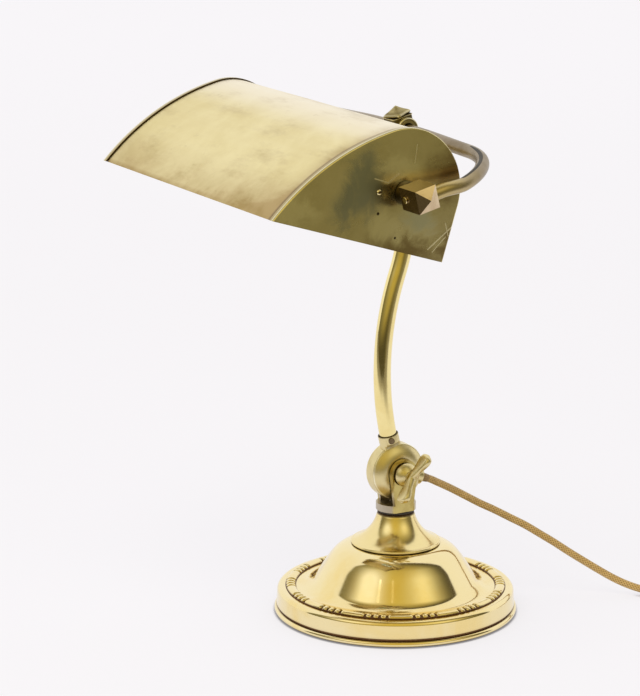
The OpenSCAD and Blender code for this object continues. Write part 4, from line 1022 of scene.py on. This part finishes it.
# Machined pieces that keep their solids' form: finish, slot, and how far each piece's edges are rounded
for finish, slot, edges in [
    (iron, "iron", {"base_weight": 0.8}),
    (felt, "felt", {"base_felt": 0.4}),
    (fibre, "fibre", {"neck_washer": 0.3, "friction_washers": 0.12, "swivel_washer": 0.2, "switch_bar": 0.5}),
    (steel, "steel", {"tie_rod": 0.4, "tie_washer": 0.25, "tie_nut": 0.5, "pivot_nipple_near": 0.3,
                      "pivot_nipple_far": 0.3, "pivot_locknut": 0.4, "holder_plungers": 0.4}),
    (umber_brass, "steel", {"collar_screw": 0.5}),
    (fork_brass, "polished_brass", {"fork": 0.55}),
    (knuckle_brass, "polished_brass", {"hinge_bolt": 0.3}),
    (polished, "polished_brass", {"block_screws": 0.3, "holder_cap": 0.5, "holder_barrel": 0.3,
                                  "bulb_cap": 0.3, "cap_rivets": 0.3}),
    (dark_brass, "patina_brass", {"arm_spigot": 0.3, "holder_ring": 0.6}),
    (black_brass, "patina_brass", {"pivot_bosses": 0.6}),
    (block_bronze, "bronze", {"end_block_near": 0.3, "end_block_far": 0.3}),
    (rubber, "flex", {"arm_flex": 0.3, "yoke_flex": 0.3}),
    (porcelain, "porcelain", {"holder_insulator": 0.5}),
    (opal, "bulb_glass", {"bulb_glass": 0.2}),
]:
    for node, edge in edges.items():
        from_solid(node, finish, edge)


# Studio: pale floor, white surround behind, a dim warm room in front with soft lights, and three lamps
def direction(azimuth, elevation):
    """A direction seen from the lamp: azimuth from the camera's side, positive to its right."""
    flat = view_front * cosd(azimuth) + view_right * sind(azimuth)
    return flat * cosd(elevation) + Vector((0, 0, 1)) * sind(elevation)


def studio_world():
    world = bpy.data.worlds.new("studio")
    bpy.context.scene.world = world
    world.use_nodes = True
    g = Nodes(world.node_tree)
    way = g.add("ShaderNodeTexCoord").outputs["Generated"]
    ahead = g.dot(way, view_front)

    def patch(azimuth, elevation, tightness):
        return g.math("POWER", g.most(g.dot(way, direction(azimuth, elevation)), 0.0), tightness)

    room = g.mix(patch(-5, 38, 3), (0.20, 0.18, 0.095), (0.70, 0.55, 0.14))
    room = g.mix(g.times(patch(-50, 40, 22), 1.3, clamp=True), room, (1.15, 1.12, 0.98))
    room = g.mix(g.times(patch(48, 37, 17), 1.05, clamp=True), room, (1.05, 0.95, 0.58))
    aside = g.dot(way, view_right)
    low = g.mix(g.span(aside, 0.25, 0.85), (0.085, 0.072, 0.038), (0.25, 0.225, 0.135))
    room = g.mix(g.span(g.dot(way, (0, 0, 1)), 0.05, -0.15), room, low)
    right = g.span(aside, 0.0, 0.1)
    line = g.times(right, g.span(ahead, -0.17, -0.14))
    edge = g.mix(line, (1.0, 0.985, 0.955), (0.10, 0.085, 0.05))
    sharp, gentle = g.span(ahead, -0.10, -0.04), g.span(ahead, -0.14, 0.16)
    tent = g.mix(g.plus(g.times(g.minus(gentle, sharp), right), sharp), edge, room)
    paths = g.add("ShaderNodeLightPath")
    seen = g.mix(paths.outputs["Is Camera Ray"], tent, (0.956, 0.948, 0.972))
    background = g.add("ShaderNodeBackground", {"Color": seen, "Strength": 1.0})
    g.add("ShaderNodeOutputWorld", {"Surface": background.outputs[0]})


def studio_floor():
    front, back, side = 0.64, -4, 4
    corners = [view_front * y + view_right * x
               for x, y in ((-side, front), (side, front), (side, back), (-side, back))]
    mesh = bpy.data.meshes.new("floor")
    mesh.from_pydata([tuple(c) for c in corners], [], [[0, 1, 2, 3]])
    floor = bpy.data.objects.new("floor", mesh)
    bpy.context.scene.collection.objects.link(floor)
    made, g, shader, coords = material("pale_floor", {"Roughness": 0.9})
    tone = g.mix(g.noise(coords, 3.0, 3.0, 0.5), (0.90, 0.90, 0.905), (0.93, 0.93, 0.935))
    paths = g.add("ShaderNodeLightPath").outputs
    bounced = g.plus(paths["Is Glossy Ray"], paths["Is Transmission Ray"])
    direct = g.plus(paths["Is Camera Ray"], bounced, clamp=True)
    forward = g.dot(coords, view_front)
    aside = g.math("ABSOLUTE", g.dot(coords, view_right))
    reach = g.plus(forward, g.times(aside, 0.35))
    # In reflections only, the floor's glow fades to dark brown towards the camera: painted shade of the dim
    # room over the front of the floor.
    dim = g.times(g.span(reach, 0.44, 0.62, 0.0, 0.92), paths["Is Glossy Ray"])
    # Occlusion close to the lamp browns and dims the floor: a painted contact shadow.
    painted_contact_shadow = g.span(g.openness(0.005, 16), 0.35, 0.8, 0.35, 1.0)
    link(g, shader, colour=g.mix(painted_contact_shadow, (0.12, 0.08, 0.06), tone))
    glow = g.add("ShaderNodeEmission", {
        "Color": g.mix(dim, (0.945, 0.93, 0.985), (0.06, 0.04, 0.01)),
        "Strength": g.times(g.span(forward, -3.2, 0.3, 1.05, 0.98), painted_contact_shadow)})
    # Near the lamp less of the floor's light is glow, so the floor darkens there: a painted shadow round the
    # base.
    share = g.span(g.openness(0.09, 16), 0.2, 0.95, 0.70, 0.80)
    share = g.times(direct, share)
    mixed = g.add("ShaderNodeMixShader", {0: share, 1: shader.outputs[0], 2: glow.outputs[0]})
    out = next(n for n in g.tree.nodes if n.type == "OUTPUT_MATERIAL")
    g.tree.links.new(mixed.outputs[0], out.inputs["Surface"])
    mesh.materials.append(made)


def lamp(name, azimuth, elevation, distance, size, power):
    light = bpy.data.lights.new(name, "AREA")
    light.size = size
    light.energy = power
    light.color = (1.0, 0.97, 0.92)
    obj = bpy.data.objects.new(name, light)
    way = direction(azimuth, elevation)
    obj.matrix_world = Matrix.Translation(way * distance) @ way.to_track_quat("Z", "Y").to_matrix().to_4x4()
    bpy.context.scene.collection.objects.link(obj)
    return obj


studio_world()
studio_floor()
lamp("lamp_left", -30, 46, 2.4, 0.09, 0.022)
lamp("lamp_middle", -6, 47, 2.4, 0.07, 0.010)
fill = lamp("lamp_fill", -25, 62, 2.4, 1.4, 27.0)
fill.visible_glossy = False
